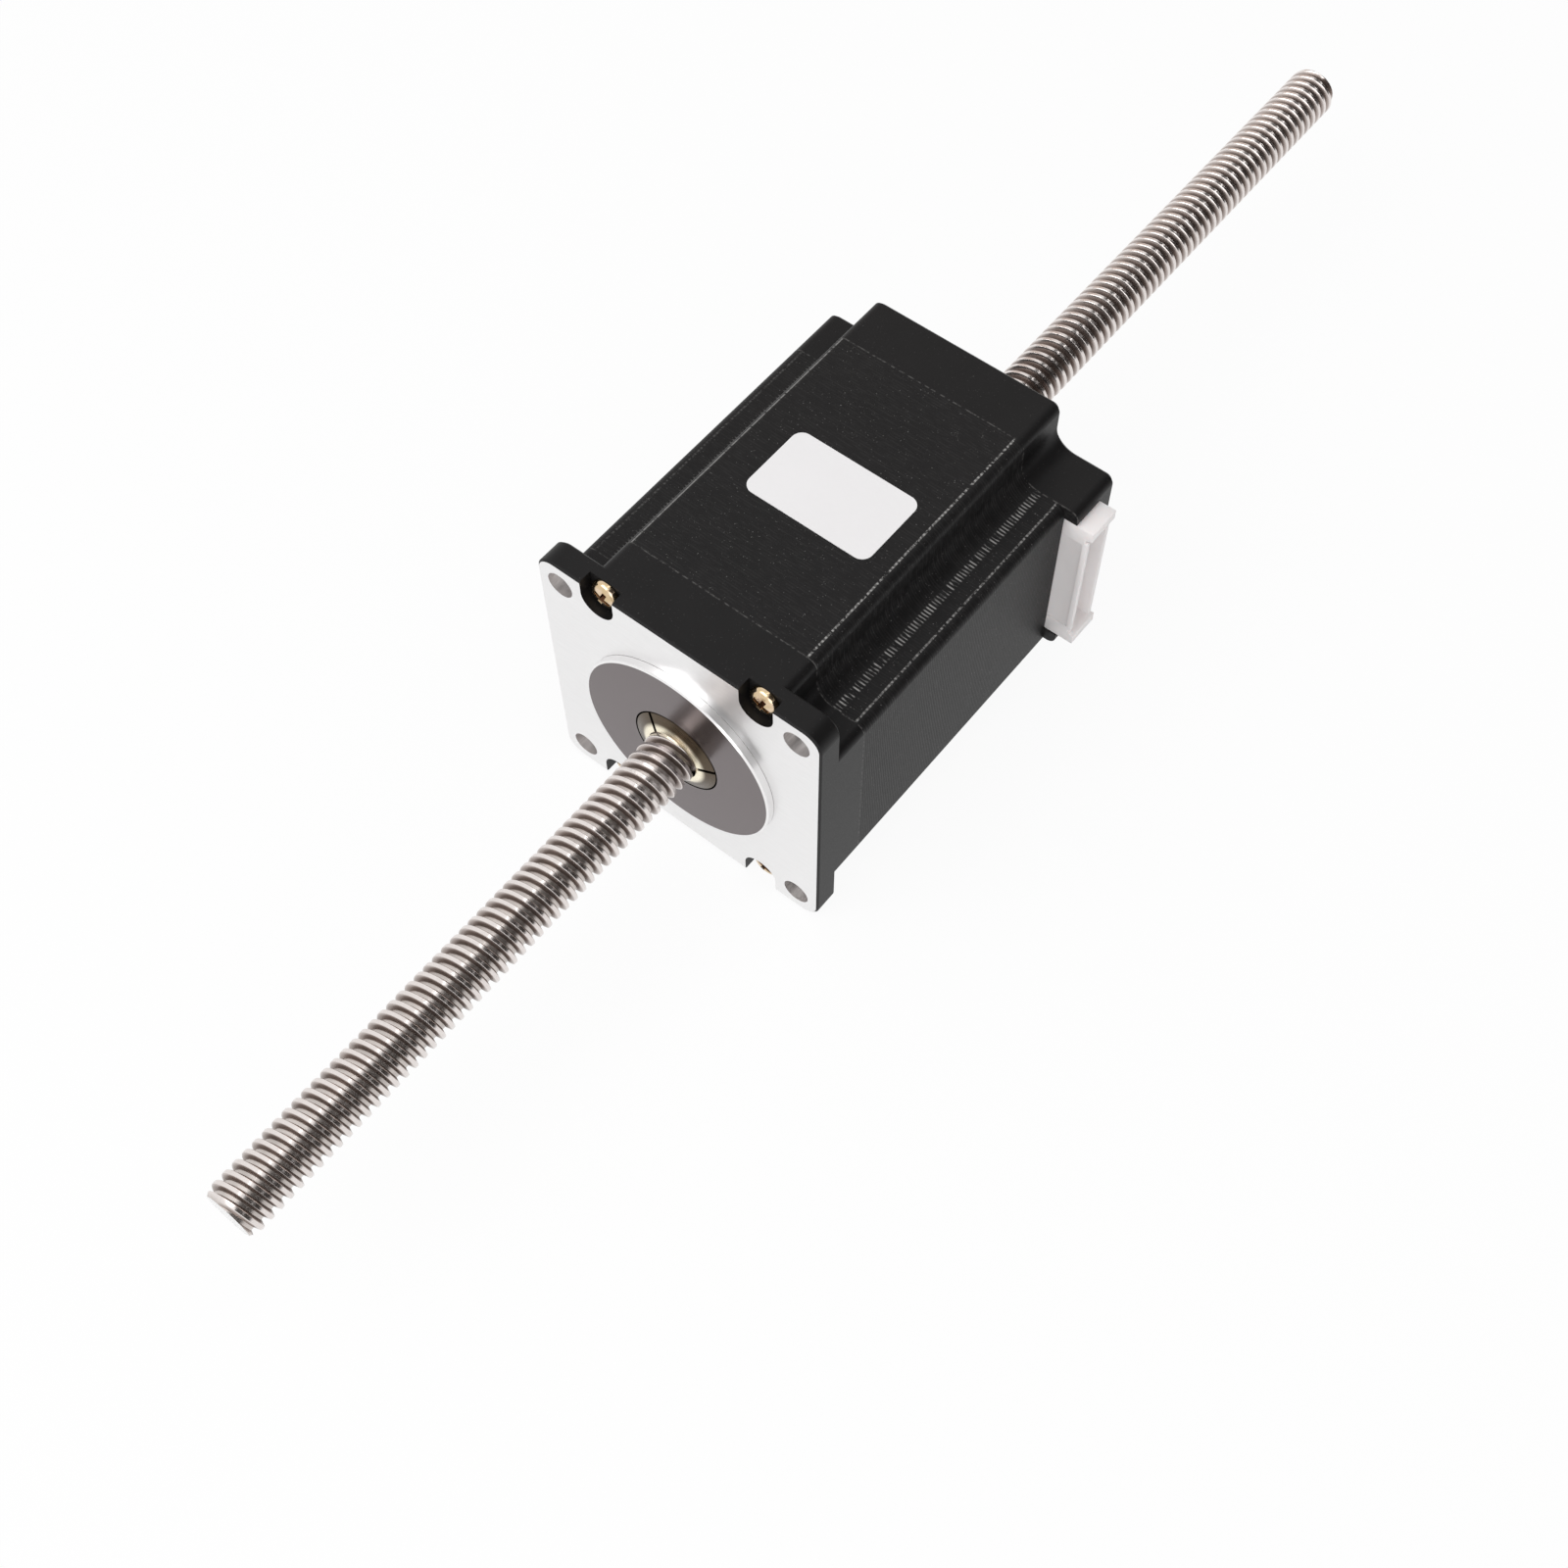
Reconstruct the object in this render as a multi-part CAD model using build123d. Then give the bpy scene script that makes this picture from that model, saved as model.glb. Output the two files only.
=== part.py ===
from build123d import *
import math
import os

# Linear stepper motor, 57 mm frame, with a turning nut and a screw that travels through the motor.
# Millimetres. The origin is the centre of the mounting face on the screw axis.
# +Y runs back through the motor, +X is the connector side and +Z is the label side.

# Clearances and fits
seat_gap = 0.02  # radial gap of a pressed or pushed-in ring, same body
locating_gap = 0.05  # gap between fixed pieces that only locate each other
running_gap = 0.05  # radial gap between the screw and the nut
air_gap = 0.15  # radial gap between rotor teeth and stator teeth
turning_gap = 0.3  # gap round turning pieces that nothing guides

# Motor frame
frame_width = 56.4
flange_thickness = 4.8
flange_corner_radius = 3.5
flange_edge_chamfer = 0.35
front_bell_length = 11.0  # mounting face to the first seam
stator_length = 53.6
rear_bell_length = 10.8
notch_width = 9.3  # corner notches along X
notch_height = 9.1  # corner notches along Z
notch_fillet = 4.0
body_edge_round = 1.75
rear_edge_chamfer = 0.6

# Mounting face
pilot_diameter = 38.1
pilot_height = 1.6
pilot_chamfer = 0.3
mount_hole_inset = 4.63  # hole centre in from the flange's edges
mount_hole_diameter = 5.0

# Screws that hold the motor together
screw_diameter = 3.0
screw_clearance = 0.2  # radial, in the front bell and the stator
screw_head_diameter = 5.5
screw_head_height = 1.5
screw_head_chamfer = 0.5
screw_head_pocket_clearance = 0.55  # radial
screw_pocket_depth = 2.6
screw_from_notch = 3.1  # screw centre in from the notch wall
screw_from_edge = 2.8  # screw centre in from the top or bottom face
screw_thread_reach = 7.4  # length in the rear bell
screw_hole_run_out = 0.6

# Lead screw and nut
lead_screw_diameter = 9.8
lead_screw_length = 297.7
lead_screw_front = 101.5  # how far the screw stands in front of the mounting face at rest
lead_screw_chamfer = 0.9
nut_diameter = 16.6
nut_cone_height = 1.0
nut_tip_wall = 0.25
nut_seat_depth = 22.0  # mounting face to the nut's rear face
nut_slit_width = 0.7
nut_slit_count = 3
nut_slit_depth = 11.0
nut_slit_angle = 9.0

# Ball bearings
bearing_bore = 20.0
bearing_outside = 32.0
bearing_width = 7.0
race_gap = 2.2  # radial space between the two rings
ball_diameter = 3.4
ball_count = 9
groove_clearance = 0.1
shield_thickness = 0.35
shield_recess = 0.5
shield_running_gap = 0.2
cage_wall = 1.4
cage_width = 4.6

# Front bearing seat and preload spring
front_wall = 4.0  # boss face to the bearing chamber
spring_height = 1.2
spring_strip = 0.5
spring_wave_count = 3
spring_width = 2.4
bearing_boss_wall = 1.8

# Rotor
rotor_shoulder_length = 1.4
rotor_shoulder_step = 0.8
sleeve_seat_step = 1.0
sleeve_bore = 13.0
rotor_tip_diameter = 32.5
rotor_tooth_count = 50
rotor_tooth_width = 0.95
rotor_tooth_height = 0.75
rotor_rear_space = 1.4  # last cup to the rear bearing
magnet_length = 2.0
magnet_inset = 1.6  # below the tooth tips
spacer_length = 1.6
spacer_inset = 2.6  # below the tooth tips

# Stator
back_iron = 3.4
pole_count = 8
pole_width = 4.6
pole_teeth = 6
stator_tooth_width = 0.95
stator_tooth_height = 0.65
pole_shoe_thickness = 1.8
slot_opening = 1.6

# Insulators and windings
insulator_thickness = 0.9
insulator_rim_wall = 0.6
insulator_rim_height = 1.6
insulator_lip_wall = 0.6
insulator_lip_length = 9.0
winding_side = 3.3
winding_pole_gap = 0.35
coil_lead_size = 0.7
coil_chamber_end_gap = 1.75

# Connector and its pad on the rear bell
pad_projection = 2.5
pad_low = -17.3
pad_corner_round = 1.75
window_low = -14.6
window_high = 16.6
window_depth = 6.9  # from the rear seam
connector_gap = 0.2
connector_inset = 3.2  # how far it reaches in from the side face
connector_projection = 5.7
connector_wall = 0.9
connector_end_block = 2.0
connector_floor = 1.5
pin_size = 0.64
pin_count = 6
pin_pitch = 3.96
pin_height = 3.0
pin_bend_offset = 1.0
board_thickness = 1.2
board_inner_step = 1.0
board_edge_gap = 0.4
board_side = 3.0  # how far the board reaches past the screw axis
board_tab_reach = 1.5
board_tab_margin = 1.2
rear_bore_diameter = 14.0
rear_wall = 3.4

# Label
label_width = 24.5
label_length = 14.9
label_corner_radius = 2.0
label_thickness = 0.12
label_x = 0.95
label_y = 37.45

# Derived places
half = frame_width / 2
notch_wall = half - notch_width
notch_floor = half - notch_height
screw_x = notch_wall - screw_from_notch
screw_z = half - screw_from_edge
screw_places = [(sx * screw_x, sz * screw_z) for sx in (-1, 1) for sz in (-1, 1)]
mount_places = [
    (sx * (half - mount_hole_inset), sz * (half - mount_hole_inset)) for sx in (-1, 1) for sz in (-1, 1)
]
pilot_radius = pilot_diameter / 2
nut_radius = nut_diameter / 2
rod_radius = lead_screw_diameter / 2
front_seam = front_bell_length
rear_seam = front_seam + stator_length
rear_face = rear_seam + rear_bell_length
chamber_floor = front_wall - pilot_height
front_bearing_y = chamber_floor + spring_height
front_bearing_end = front_bearing_y + bearing_width
rear_bearing_end = rear_face - rear_wall
rear_bearing_y = rear_bearing_end - bearing_width
bearing_seat_radius = bearing_outside / 2 + seat_gap
bearing_boss_radius = bearing_seat_radius + bearing_boss_wall
journal_radius = bearing_bore / 2 - seat_gap
sleeve_seat_radius = journal_radius + sleeve_seat_step
rotor_tip_radius = rotor_tip_diameter / 2
rotor_start = front_bearing_end + rotor_shoulder_length
rotor_length = rear_bearing_y - rotor_rear_space - rotor_start
cup_length = (rotor_length - 2 * magnet_length - spacer_length) / 4
stator_bore_radius = rotor_tip_radius + air_gap
slot_radius = half - back_iron
shoe_radius = stator_bore_radius + pole_shoe_thickness
rotor_pitch = 360 / rotor_tooth_count
pole_pitch = 360 / pole_count
rim_outer_radius = slot_radius - locating_gap * 3
rim_inner_radius = rim_outer_radius - insulator_rim_wall
lip_inner_radius = max(bearing_boss_radius + turning_gap, shoe_radius)
lip_outer_radius = lip_inner_radius + insulator_lip_wall
winding_inner_radius = lip_outer_radius + locating_gap * 2
winding_opening = pole_width + 2 * winding_pole_gap
winding_half_width = winding_opening / 2 + winding_side
winding_outer_radius = math.sqrt((rim_inner_radius - locating_gap) ** 2 - winding_half_width**2)
winding_height = winding_outer_radius - winding_inner_radius
winding_length = stator_length + 2 * insulator_thickness + 2 * locating_gap
winding_end = winding_length / 2 + winding_side
stator_centre = front_seam + stator_length / 2
front_coil_chamber = stator_centre - winding_end - coil_chamber_end_gap
pad_face = half + pad_projection
window_end = rear_seam + window_depth
connector_front = rear_seam + locating_gap * 2
connector_rear = window_end - locating_gap * 2
connector_low = window_low + connector_gap
connector_high = window_high - connector_gap
connector_middle = (connector_low + connector_high) / 2
connector_inner = half - connector_inset
connector_outer = half + connector_projection
socket_floor = connector_inner + connector_floor
pin_bend_x = connector_inner - pin_bend_offset
pin_y = (connector_front + connector_rear) / 2
board_front = connector_rear + locating_gap
board_rear = board_front + board_thickness
coil_chamber_end = board_rear + locating_gap
board_tab_edge = connector_inner + board_tab_reach
pin_places = [connector_middle + (i - (pin_count - 1) / 2) * pin_pitch for i in range(pin_count)]


def station(y):
    """Front-view plane at y: sketch X runs along +X and sketch Y along +Z."""
    return Plane(origin=(0, y, 0), x_dir=(1, 0, 0), z_dir=(0, -1, 0))


def prism(sketch, y_front, y_back):
    """Solid of a front-view sketch between two stations."""
    return extrude(station(y_back) * sketch, amount=y_back - y_front)


def turned(*points):
    """Solid turned about the screw axis from (radius, y) points."""
    return revolve(make_face(Polyline(*points, close=True)), Axis.Y)


def ring(inner, outer, y_front, y_back):
    """Plain ring about the screw axis."""
    return prism(Circle(outer) - Circle(inner), y_front, y_back)


def around(shape, count, start=0.0):
    """Copies of a shape spaced evenly about the screw axis."""
    return [Rot(0, start + i * 360 / count, 0) * shape for i in range(count)]


def slab(x0, x1, y0, y1, z0, z1):
    """Block between two corners."""
    middle = Pos((x0 + x1) / 2, (y0 + y1) / 2, (z0 + z1) / 2)
    return middle * Box(x1 - x0, y1 - y0, z1 - z0)


def spoke(width, start, end):
    """Front-view strip that runs out from the axis along +X."""
    return Pos((start + end) / 2, 0) * Rectangle(end - start, width)


def spokes(width, start, end, count, first=0.0):
    """Even set of front-view strips about the axis."""
    strip = spoke(width, start, end)
    return [Rot(0, 0, first + i * 360 / count) * strip for i in range(count)]


def body_outline():
    """Square section with a filleted notch in each corner."""
    outline = Rectangle(frame_width, frame_width)
    for sx in (-1, 1):
        for sz in (-1, 1):
            outline -= Pos(sx * half, sz * half) * Rectangle(2 * notch_width, 2 * notch_height)
    inner = [v for v in outline.vertices() if max(abs(v.X), abs(v.Y)) < half - 1e-6]
    outline = fillet(inner, notch_fillet)
    outer = [v for v in outline.vertices() if on_notch_mouth(v)]
    return fillet(outer, body_edge_round)


def on_notch_mouth(v):
    """True for the sharp corners where a notch meets a flat side."""
    top = abs(abs(v.Y) - half) < 1e-6 and abs(abs(v.X) - notch_wall) < 1e-6
    side = abs(abs(v.X) - half) < 1e-6 and abs(abs(v.Y) - notch_floor) < 1e-6
    return top or side


def make_front_bell(outline):
    """Flange, pilot boss and bearing housing in one casting."""
    flange = prism(RectangleRounded(frame_width, frame_width, flange_corner_radius), 0, flange_thickness)
    faces = flange.faces().sort_by(Axis.Y)
    flange = chamfer(faces[0].edges() + faces[-1].edges(), flange_edge_chamfer)
    boss = turned(
        (0, -pilot_height),
        (pilot_radius - pilot_chamfer, -pilot_height),
        (pilot_radius, pilot_chamfer - pilot_height),
        (pilot_radius, flange_thickness / 2),
        (0, flange_thickness / 2),
    )
    bell = flange + boss + prism(outline, flange_thickness / 2, front_seam)
    bore_radius = nut_radius + turning_gap
    bell -= prism(Circle(bore_radius), -pilot_height, chamber_floor)
    bell -= prism(Circle(bearing_seat_radius), chamber_floor, front_seam)
    bell -= ring(bearing_boss_radius, slot_radius, front_coil_chamber, front_seam)
    pocket_radius = screw_head_diameter / 2 + screw_head_pocket_clearance
    for x, z in screw_places:
        side = math.copysign(1, z)
        mouth = Pos(x, z + side * screw_from_edge) * Rectangle(2 * pocket_radius, 2 * screw_from_edge)
        bell -= prism(Pos(x, z) * Circle(pocket_radius) + mouth, -pilot_height, screw_pocket_depth)
        hole = Pos(x, z) * Circle(screw_diameter / 2 + screw_clearance)
        bell -= prism(hole, screw_pocket_depth, front_seam)
    for x, z in mount_places:
        bell -= prism(Pos(x, z) * Circle(mount_hole_diameter / 2), -pilot_height, flange_thickness)
    return bell


def make_stator(outline):
    """Lamination stack with toothed poles."""
    bore = Circle(slot_radius)
    shoes = Circle(shoe_radius) - Circle(stator_bore_radius)
    shoes -= spokes(slot_opening, stator_bore_radius - 1, shoe_radius + 1, pole_count, pole_pitch / 2)
    shoe_middle = (stator_bore_radius + shoe_radius) / 2
    shanks = spokes(pole_width, shoe_middle, slot_radius + back_iron / 2, pole_count)
    poles = shoes + shanks
    space = math.radians(rotor_pitch) * stator_bore_radius - stator_tooth_width
    tooth_root = stator_bore_radius + stator_tooth_height
    gap = spoke(space, stator_bore_radius - 1, tooth_root)
    gaps = []
    for pole in range(pole_count):
        for i in range(pole_teeth - 1):
            angle = pole * pole_pitch + (i - (pole_teeth - 2) / 2) * rotor_pitch
            gaps.append(Rot(0, 0, angle) * gap)
    poles -= gaps
    section = outline - (bore - poles)
    section -= [Pos(x, z) * Circle(screw_diameter / 2 + screw_clearance) for x, z in screw_places]
    return prism(section, front_seam, rear_seam)


def make_rear_bell(outline):
    """Rear bearing housing with the connector pad."""
    pad_height = notch_floor - pad_low
    pad_start = slot_radius
    pad = Pos((pad_start + pad_face) / 2, (notch_floor + pad_low) / 2)
    section = outline + pad * Rectangle(pad_face - pad_start, pad_height)
    corners = [v for v in section.vertices() if abs(v.X - pad_face) < 1e-6]
    section = fillet(corners, pad_corner_round)
    bell = prism(section, rear_seam, rear_face)
    bell = chamfer(bell.faces().sort_by(Axis.Y)[-1].edges(), rear_edge_chamfer)
    bell -= prism(Circle(bearing_seat_radius), rear_seam, rear_bearing_end)
    bell -= prism(Circle(rear_bore_diameter / 2), rear_bearing_end, rear_face)
    bell -= ring(bearing_boss_radius, slot_radius, rear_seam, coil_chamber_end)
    for x, z in screw_places:
        hole_end = rear_seam + screw_thread_reach + screw_hole_run_out
        bell -= prism(Pos(x, z) * Circle(screw_diameter / 2 + seat_gap), rear_seam, hole_end)
    window_reach = max(-window_low, window_high)
    pocket_inner = max(math.sqrt(slot_radius**2 - window_reach**2), bearing_boss_radius)
    bell -= slab(pocket_inner, pad_face + 1, rear_seam, window_end, window_low, window_high)
    tab_low, tab_high = tab_span()
    tab_end = board_tab_edge + board_edge_gap
    bell -= slab(
        pocket_inner, tab_end, window_end, coil_chamber_end, tab_low - board_edge_gap, tab_high + board_edge_gap
    )
    return bell


def tab_span():
    """Lowest and highest Z of the terminal board's tab."""
    reach = (pin_count - 1) * pin_pitch / 2 + board_tab_margin
    return connector_middle - reach, connector_middle + reach


def make_insulator(seat, side):
    """Moulded insulator on one end of the stack; side is -1 in front and +1 behind."""
    rim = Circle(rim_outer_radius) - Circle(rim_inner_radius)
    arm_end = (rim_inner_radius + rim_outer_radius) / 2
    arms = spokes(winding_opening - 2 * locating_gap, lip_inner_radius, arm_end, pole_count)
    lips = spokes(insulator_lip_length, lip_inner_radius, lip_outer_radius, pole_count)
    base = sorted((seat, seat + side * insulator_thickness))
    raised = sorted((seat, seat + side * (insulator_thickness + insulator_rim_height)))
    return prism(rim + arms + lips, *base) + prism(rim + lips, *raised)


def make_winding():
    """Coil on the pole that points along +X."""
    outside = RectangleRounded(2 * winding_end, 2 * winding_half_width, winding_side)
    opening = Rectangle(winding_length, winding_opening)
    face = Plane(origin=(winding_inner_radius, stator_centre, 0), x_dir=(0, 1, 0), z_dir=(1, 0, 0))
    return extrude(face * (outside - opening), amount=winding_height)


def make_screw(x, z):
    """Pan-head screw that runs from the flange into the rear bell."""
    head_top = screw_pocket_depth - screw_head_height
    head_radius = screw_head_diameter / 2
    shank_radius = screw_diameter / 2
    shank_end = rear_seam + screw_thread_reach
    screw = turned(
        (0, head_top),
        (head_radius - screw_head_chamfer, head_top),
        (head_radius, head_top + screw_head_chamfer),
        (head_radius, screw_pocket_depth),
        (shank_radius, screw_pocket_depth),
        (shank_radius, shank_end),
        (0, shank_end),
    )
    return Pos(x, 0, z) * screw


def make_wave_spring():
    """Ring of spring strip bent into even waves."""
    outer = bearing_seat_radius - turning_gap
    inner = outer - spring_width
    middle = (outer + inner) / 2
    rise = spring_height - spring_strip
    half_wave = middle * math.sin(math.radians(180 / spring_wave_count * math.sqrt(0.5)))
    bend = (half_wave**2 + rise**2) / (2 * rise)
    washer = ring(inner, outer, chamber_floor, front_bearing_y)
    front_cut = Pos(outer / 2 + 1, chamber_floor + rise - bend, 0) * Rot(0, 90, 0) * Cylinder(bend, outer + 2)
    rear_cut = Pos(outer / 2 + 1, front_bearing_y - rise + bend, 0) * Rot(0, 90, 0) * Cylinder(bend, outer + 2)
    for cut in around(front_cut, spring_wave_count):
        washer -= cut
    for cut in around(rear_cut, spring_wave_count, 180 / spring_wave_count):
        washer -= cut
    return washer


def bearing_pieces(y_front):
    """Outer ring, inner ring, shields, cage and balls of one deep-groove bearing."""
    y_back = y_front + bearing_width
    y_mid = (y_front + y_back) / 2
    outer_radius = bearing_outside / 2
    inner_radius = bearing_bore / 2
    pitch_radius = (outer_radius + inner_radius) / 2
    outer_land = pitch_radius + race_gap / 2
    inner_land = pitch_radius - race_gap / 2
    ball_radius = ball_diameter / 2
    groove_reach = ball_radius + groove_clearance
    groove_flat = groove_reach * math.tan(math.radians(22.5))
    outer = ring(outer_land, outer_radius, y_front, y_back)
    inner = ring(inner_radius, inner_land, y_front, y_back)
    groove = turned(
        (pitch_radius - groove_reach, y_mid - groove_flat),
        (pitch_radius - groove_flat, y_mid - groove_reach),
        (pitch_radius + groove_flat, y_mid - groove_reach),
        (pitch_radius + groove_reach, y_mid - groove_flat),
        (pitch_radius + groove_reach, y_mid + groove_flat),
        (pitch_radius + groove_flat, y_mid + groove_reach),
        (pitch_radius - groove_flat, y_mid + groove_reach),
        (pitch_radius - groove_reach, y_mid + groove_flat),
    )
    shield_inner = inner_land + shield_running_gap
    shield_outer = outer_land - seat_gap
    front_seat = y_front + shield_recess
    rear_seat = y_back - shield_recess
    front_shield = ring(shield_inner, shield_outer, front_seat - shield_thickness, front_seat)
    rear_shield = ring(shield_inner, shield_outer, rear_seat, rear_seat + shield_thickness)
    ball = Pos(pitch_radius, y_mid, 0) * make_ball(ball_radius)
    cage_inner = pitch_radius - cage_wall / 2
    cage_outer = pitch_radius + cage_wall / 2
    cage = ring(cage_inner, cage_outer, y_mid - cage_width / 2, y_mid + cage_width / 2)
    window = slab(
        pitch_radius - cage_wall,
        pitch_radius + cage_wall,
        y_mid - groove_reach,
        y_mid + groove_reach,
        -groove_reach,
        groove_reach,
    )
    for cut in around(window, ball_count):
        cage -= cut
    return {
        "outer_ring": outer - groove,
        "inner_ring": inner - groove,
        "shields": Compound([front_shield, rear_shield]),
        "cage": cage,
        "balls": Compound(around(ball, ball_count)),
    }


def make_ball(radius):
    """Bearing ball with few flat faces, because it repeats so often."""
    cube = Box(2 * radius, 2 * radius, 2 * radius)
    ball = cube & (Rot(45, 0, 0) * cube) & (Rot(0, 45, 0) * cube) & (Rot(0, 0, 45) * cube)
    corner = Rot(0, 0, 45) * Rot(math.degrees(math.atan(math.sqrt(2))), 0, 0) * cube
    for turn in range(4):
        ball = ball & (Rot(0, 0, 90 * turn) * corner)
    return ball


def make_sleeve():
    """Hollow rotor shaft with a shoulder behind the front bearing."""
    front = chamber_floor + turning_gap
    rear = rear_bearing_end - turning_gap
    shoulder_radius = sleeve_seat_radius + rotor_shoulder_step
    nut_bore_radius = nut_radius + seat_gap
    return turned(
        (nut_bore_radius, front),
        (journal_radius, front),
        (journal_radius, front_bearing_end),
        (shoulder_radius, front_bearing_end),
        (shoulder_radius, rotor_start),
        (sleeve_seat_radius, rotor_start),
        (sleeve_seat_radius, rear_bearing_y),
        (journal_radius, rear_bearing_y),
        (journal_radius, rear),
        (sleeve_bore / 2, rear),
        (sleeve_bore / 2, nut_seat_depth),
        (nut_bore_radius, nut_seat_depth),
    )


def make_nut():
    """Split drive nut with a coned front face."""
    bore = rod_radius + running_gap
    cone_tip = -pilot_height - nut_cone_height
    nut = turned(
        (bore, cone_tip),
        (bore + nut_tip_wall, cone_tip),
        (nut_radius, -pilot_height),
        (nut_radius, nut_seat_depth),
        (bore, nut_seat_depth),
    )
    slit = slab(
        0, nut_radius + 1, cone_tip, cone_tip + nut_slit_depth, -nut_slit_width / 2, nut_slit_width / 2
    )
    for cut in around(slit, nut_slit_count, -nut_slit_angle):
        nut -= cut
    return nut


def rotor_section(first_angle):
    """Toothed front-view section of a rotor cup."""
    root_radius = rotor_tip_radius - rotor_tooth_height
    root = Rot(0, 0, first_angle) * RegularPolygon(root_radius, rotor_tooth_count)
    teeth = spokes(rotor_tooth_width, rotor_tip_radius / 2, rotor_tip_radius, rotor_tooth_count, first_angle)
    return root + teeth - Circle(sleeve_seat_radius + seat_gap)


def rotor_pieces():
    """Two pairs of toothed cups, each round a magnet, with a spacer between the pairs."""
    straight = rotor_section(0)
    shifted = rotor_section(rotor_pitch / 2)
    bore = sleeve_seat_radius + seat_gap
    pieces = {}
    y = rotor_start
    for pair in range(2):
        number = 2 * pair + 1
        pieces[f"rotor_cup_{number}"] = prism(straight, y, y + cup_length)
        y += cup_length
        pieces[f"rotor_magnet_{pair + 1}"] = ring(bore, rotor_tip_radius - magnet_inset, y, y + magnet_length)
        y += magnet_length
        pieces[f"rotor_cup_{number + 1}"] = prism(shifted, y, y + cup_length)
        y += cup_length
        if pair == 0:
            pieces["rotor_spacer"] = ring(bore, rotor_tip_radius - spacer_inset, y, y + spacer_length)
            y += spacer_length
    return pieces


def make_lead_screw():
    """Plain rod of the lead screw at its outside diameter."""
    start = -lead_screw_front
    end = start + lead_screw_length
    return turned(
        (0, start),
        (rod_radius - lead_screw_chamfer, start),
        (rod_radius, start + lead_screw_chamfer),
        (rod_radius, end - lead_screw_chamfer),
        (rod_radius - lead_screw_chamfer, end),
        (0, end),
    )


def make_connector():
    """Open shrouded header that faces +X."""
    shell = slab(connector_inner, connector_outer, connector_front, connector_rear, connector_low, connector_high)
    shell -= slab(
        socket_floor,
        connector_outer + 1,
        connector_front + connector_wall,
        connector_rear - connector_wall,
        connector_low + connector_end_block,
        connector_high - connector_end_block,
    )
    opening = pin_size / 2 + locating_gap
    for z in pin_places:
        shell -= slab(connector_inner, socket_floor, pin_y - opening, pin_y + opening, z - opening, z + opening)
    return shell


def make_pin(z):
    """Square pin bent from the socket back into the board."""
    r = pin_size / 2
    level = slab(pin_bend_x - r, socket_floor + pin_height, pin_y - r, pin_y + r, z - r, z + r)
    return level + slab(pin_bend_x - r, pin_bend_x + r, pin_y - r, board_rear, z - r, z + r)


def make_board():
    """Part-ring board that joins the windings to the connector pins."""
    inner = bearing_boss_radius + board_inner_step
    outer = slot_radius - board_edge_gap
    section = Circle(outer) & (Pos((outer - board_side) / 2, 0) * Rectangle(outer + board_side, 2 * outer))
    tab_low, tab_high = tab_span()
    section += Pos(board_tab_edge / 2, connector_middle) * Rectangle(board_tab_edge, tab_high - tab_low)
    section -= Circle(inner)
    opening = pin_size + 2 * locating_gap
    section -= [Pos(pin_bend_x, z) * Rectangle(opening, opening) for z in pin_places]
    return prism(section, board_front, board_rear)


def make_lead(angle):
    """Winding end that stands between a coil and the board."""
    radius = (winding_inner_radius + winding_outer_radius) / 2
    wire = Pos(radius, 0) * Rectangle(coil_lead_size, coil_lead_size)
    return Rot(0, angle, 0) * prism(wire, stator_centre + winding_end, board_front)


def make_label():
    """Blank label on the top face of the stack."""
    outline = Pos(label_x, label_y, half) * RectangleRounded(label_width, label_length, label_corner_radius)
    return extrude(outline, amount=label_thickness)


outline = body_outline()
winding = make_winding()
front_bearing = bearing_pieces(front_bearing_y)
rear_bearing = bearing_pieces(rear_bearing_y)

nodes = {
    "front_end_bell": make_front_bell(outline),
    "rear_end_bell": make_rear_bell(outline),
    "stator_stack": make_stator(outline),
    "front_insulator": make_insulator(front_seam, -1),
    "rear_insulator": make_insulator(rear_seam, 1),
    "phase_a_coils": Compound(around(winding, pole_count // 2)),
    "phase_b_coils": Compound(around(winding, pole_count // 2, pole_pitch)),
    "coil_leads": Compound([make_lead(a) for a in (-2 * pole_pitch, -pole_pitch, pole_pitch, 2 * pole_pitch)]),
    "assembly_screws": Compound([make_screw(x, z) for x, z in screw_places]),
    "wave_spring": make_wave_spring(),
    "connector_housing": make_connector(),
    "connector_pins": Compound([make_pin(z) for z in pin_places]),
    "terminal_board": make_board(),
    "label": make_label(),
    "rotor_sleeve": make_sleeve(),
    "drive_nut": make_nut(),
    "lead_screw": make_lead_screw(),
}
nodes.update(rotor_pieces())
for name, pieces in (("front_bearing", front_bearing), ("rear_bearing", rear_bearing)):
    for piece, shape in pieces.items():
        nodes[f"{name}_{piece}"] = shape

for name, shape in nodes.items():
    export_step(shape, f"parts/{name}.step")
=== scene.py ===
import math

import bmesh
import bpy
from bpy.props import BoolProperty, FloatProperty, FloatVectorProperty, IntProperty, PointerProperty
from mathutils import Matrix, Vector


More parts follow.
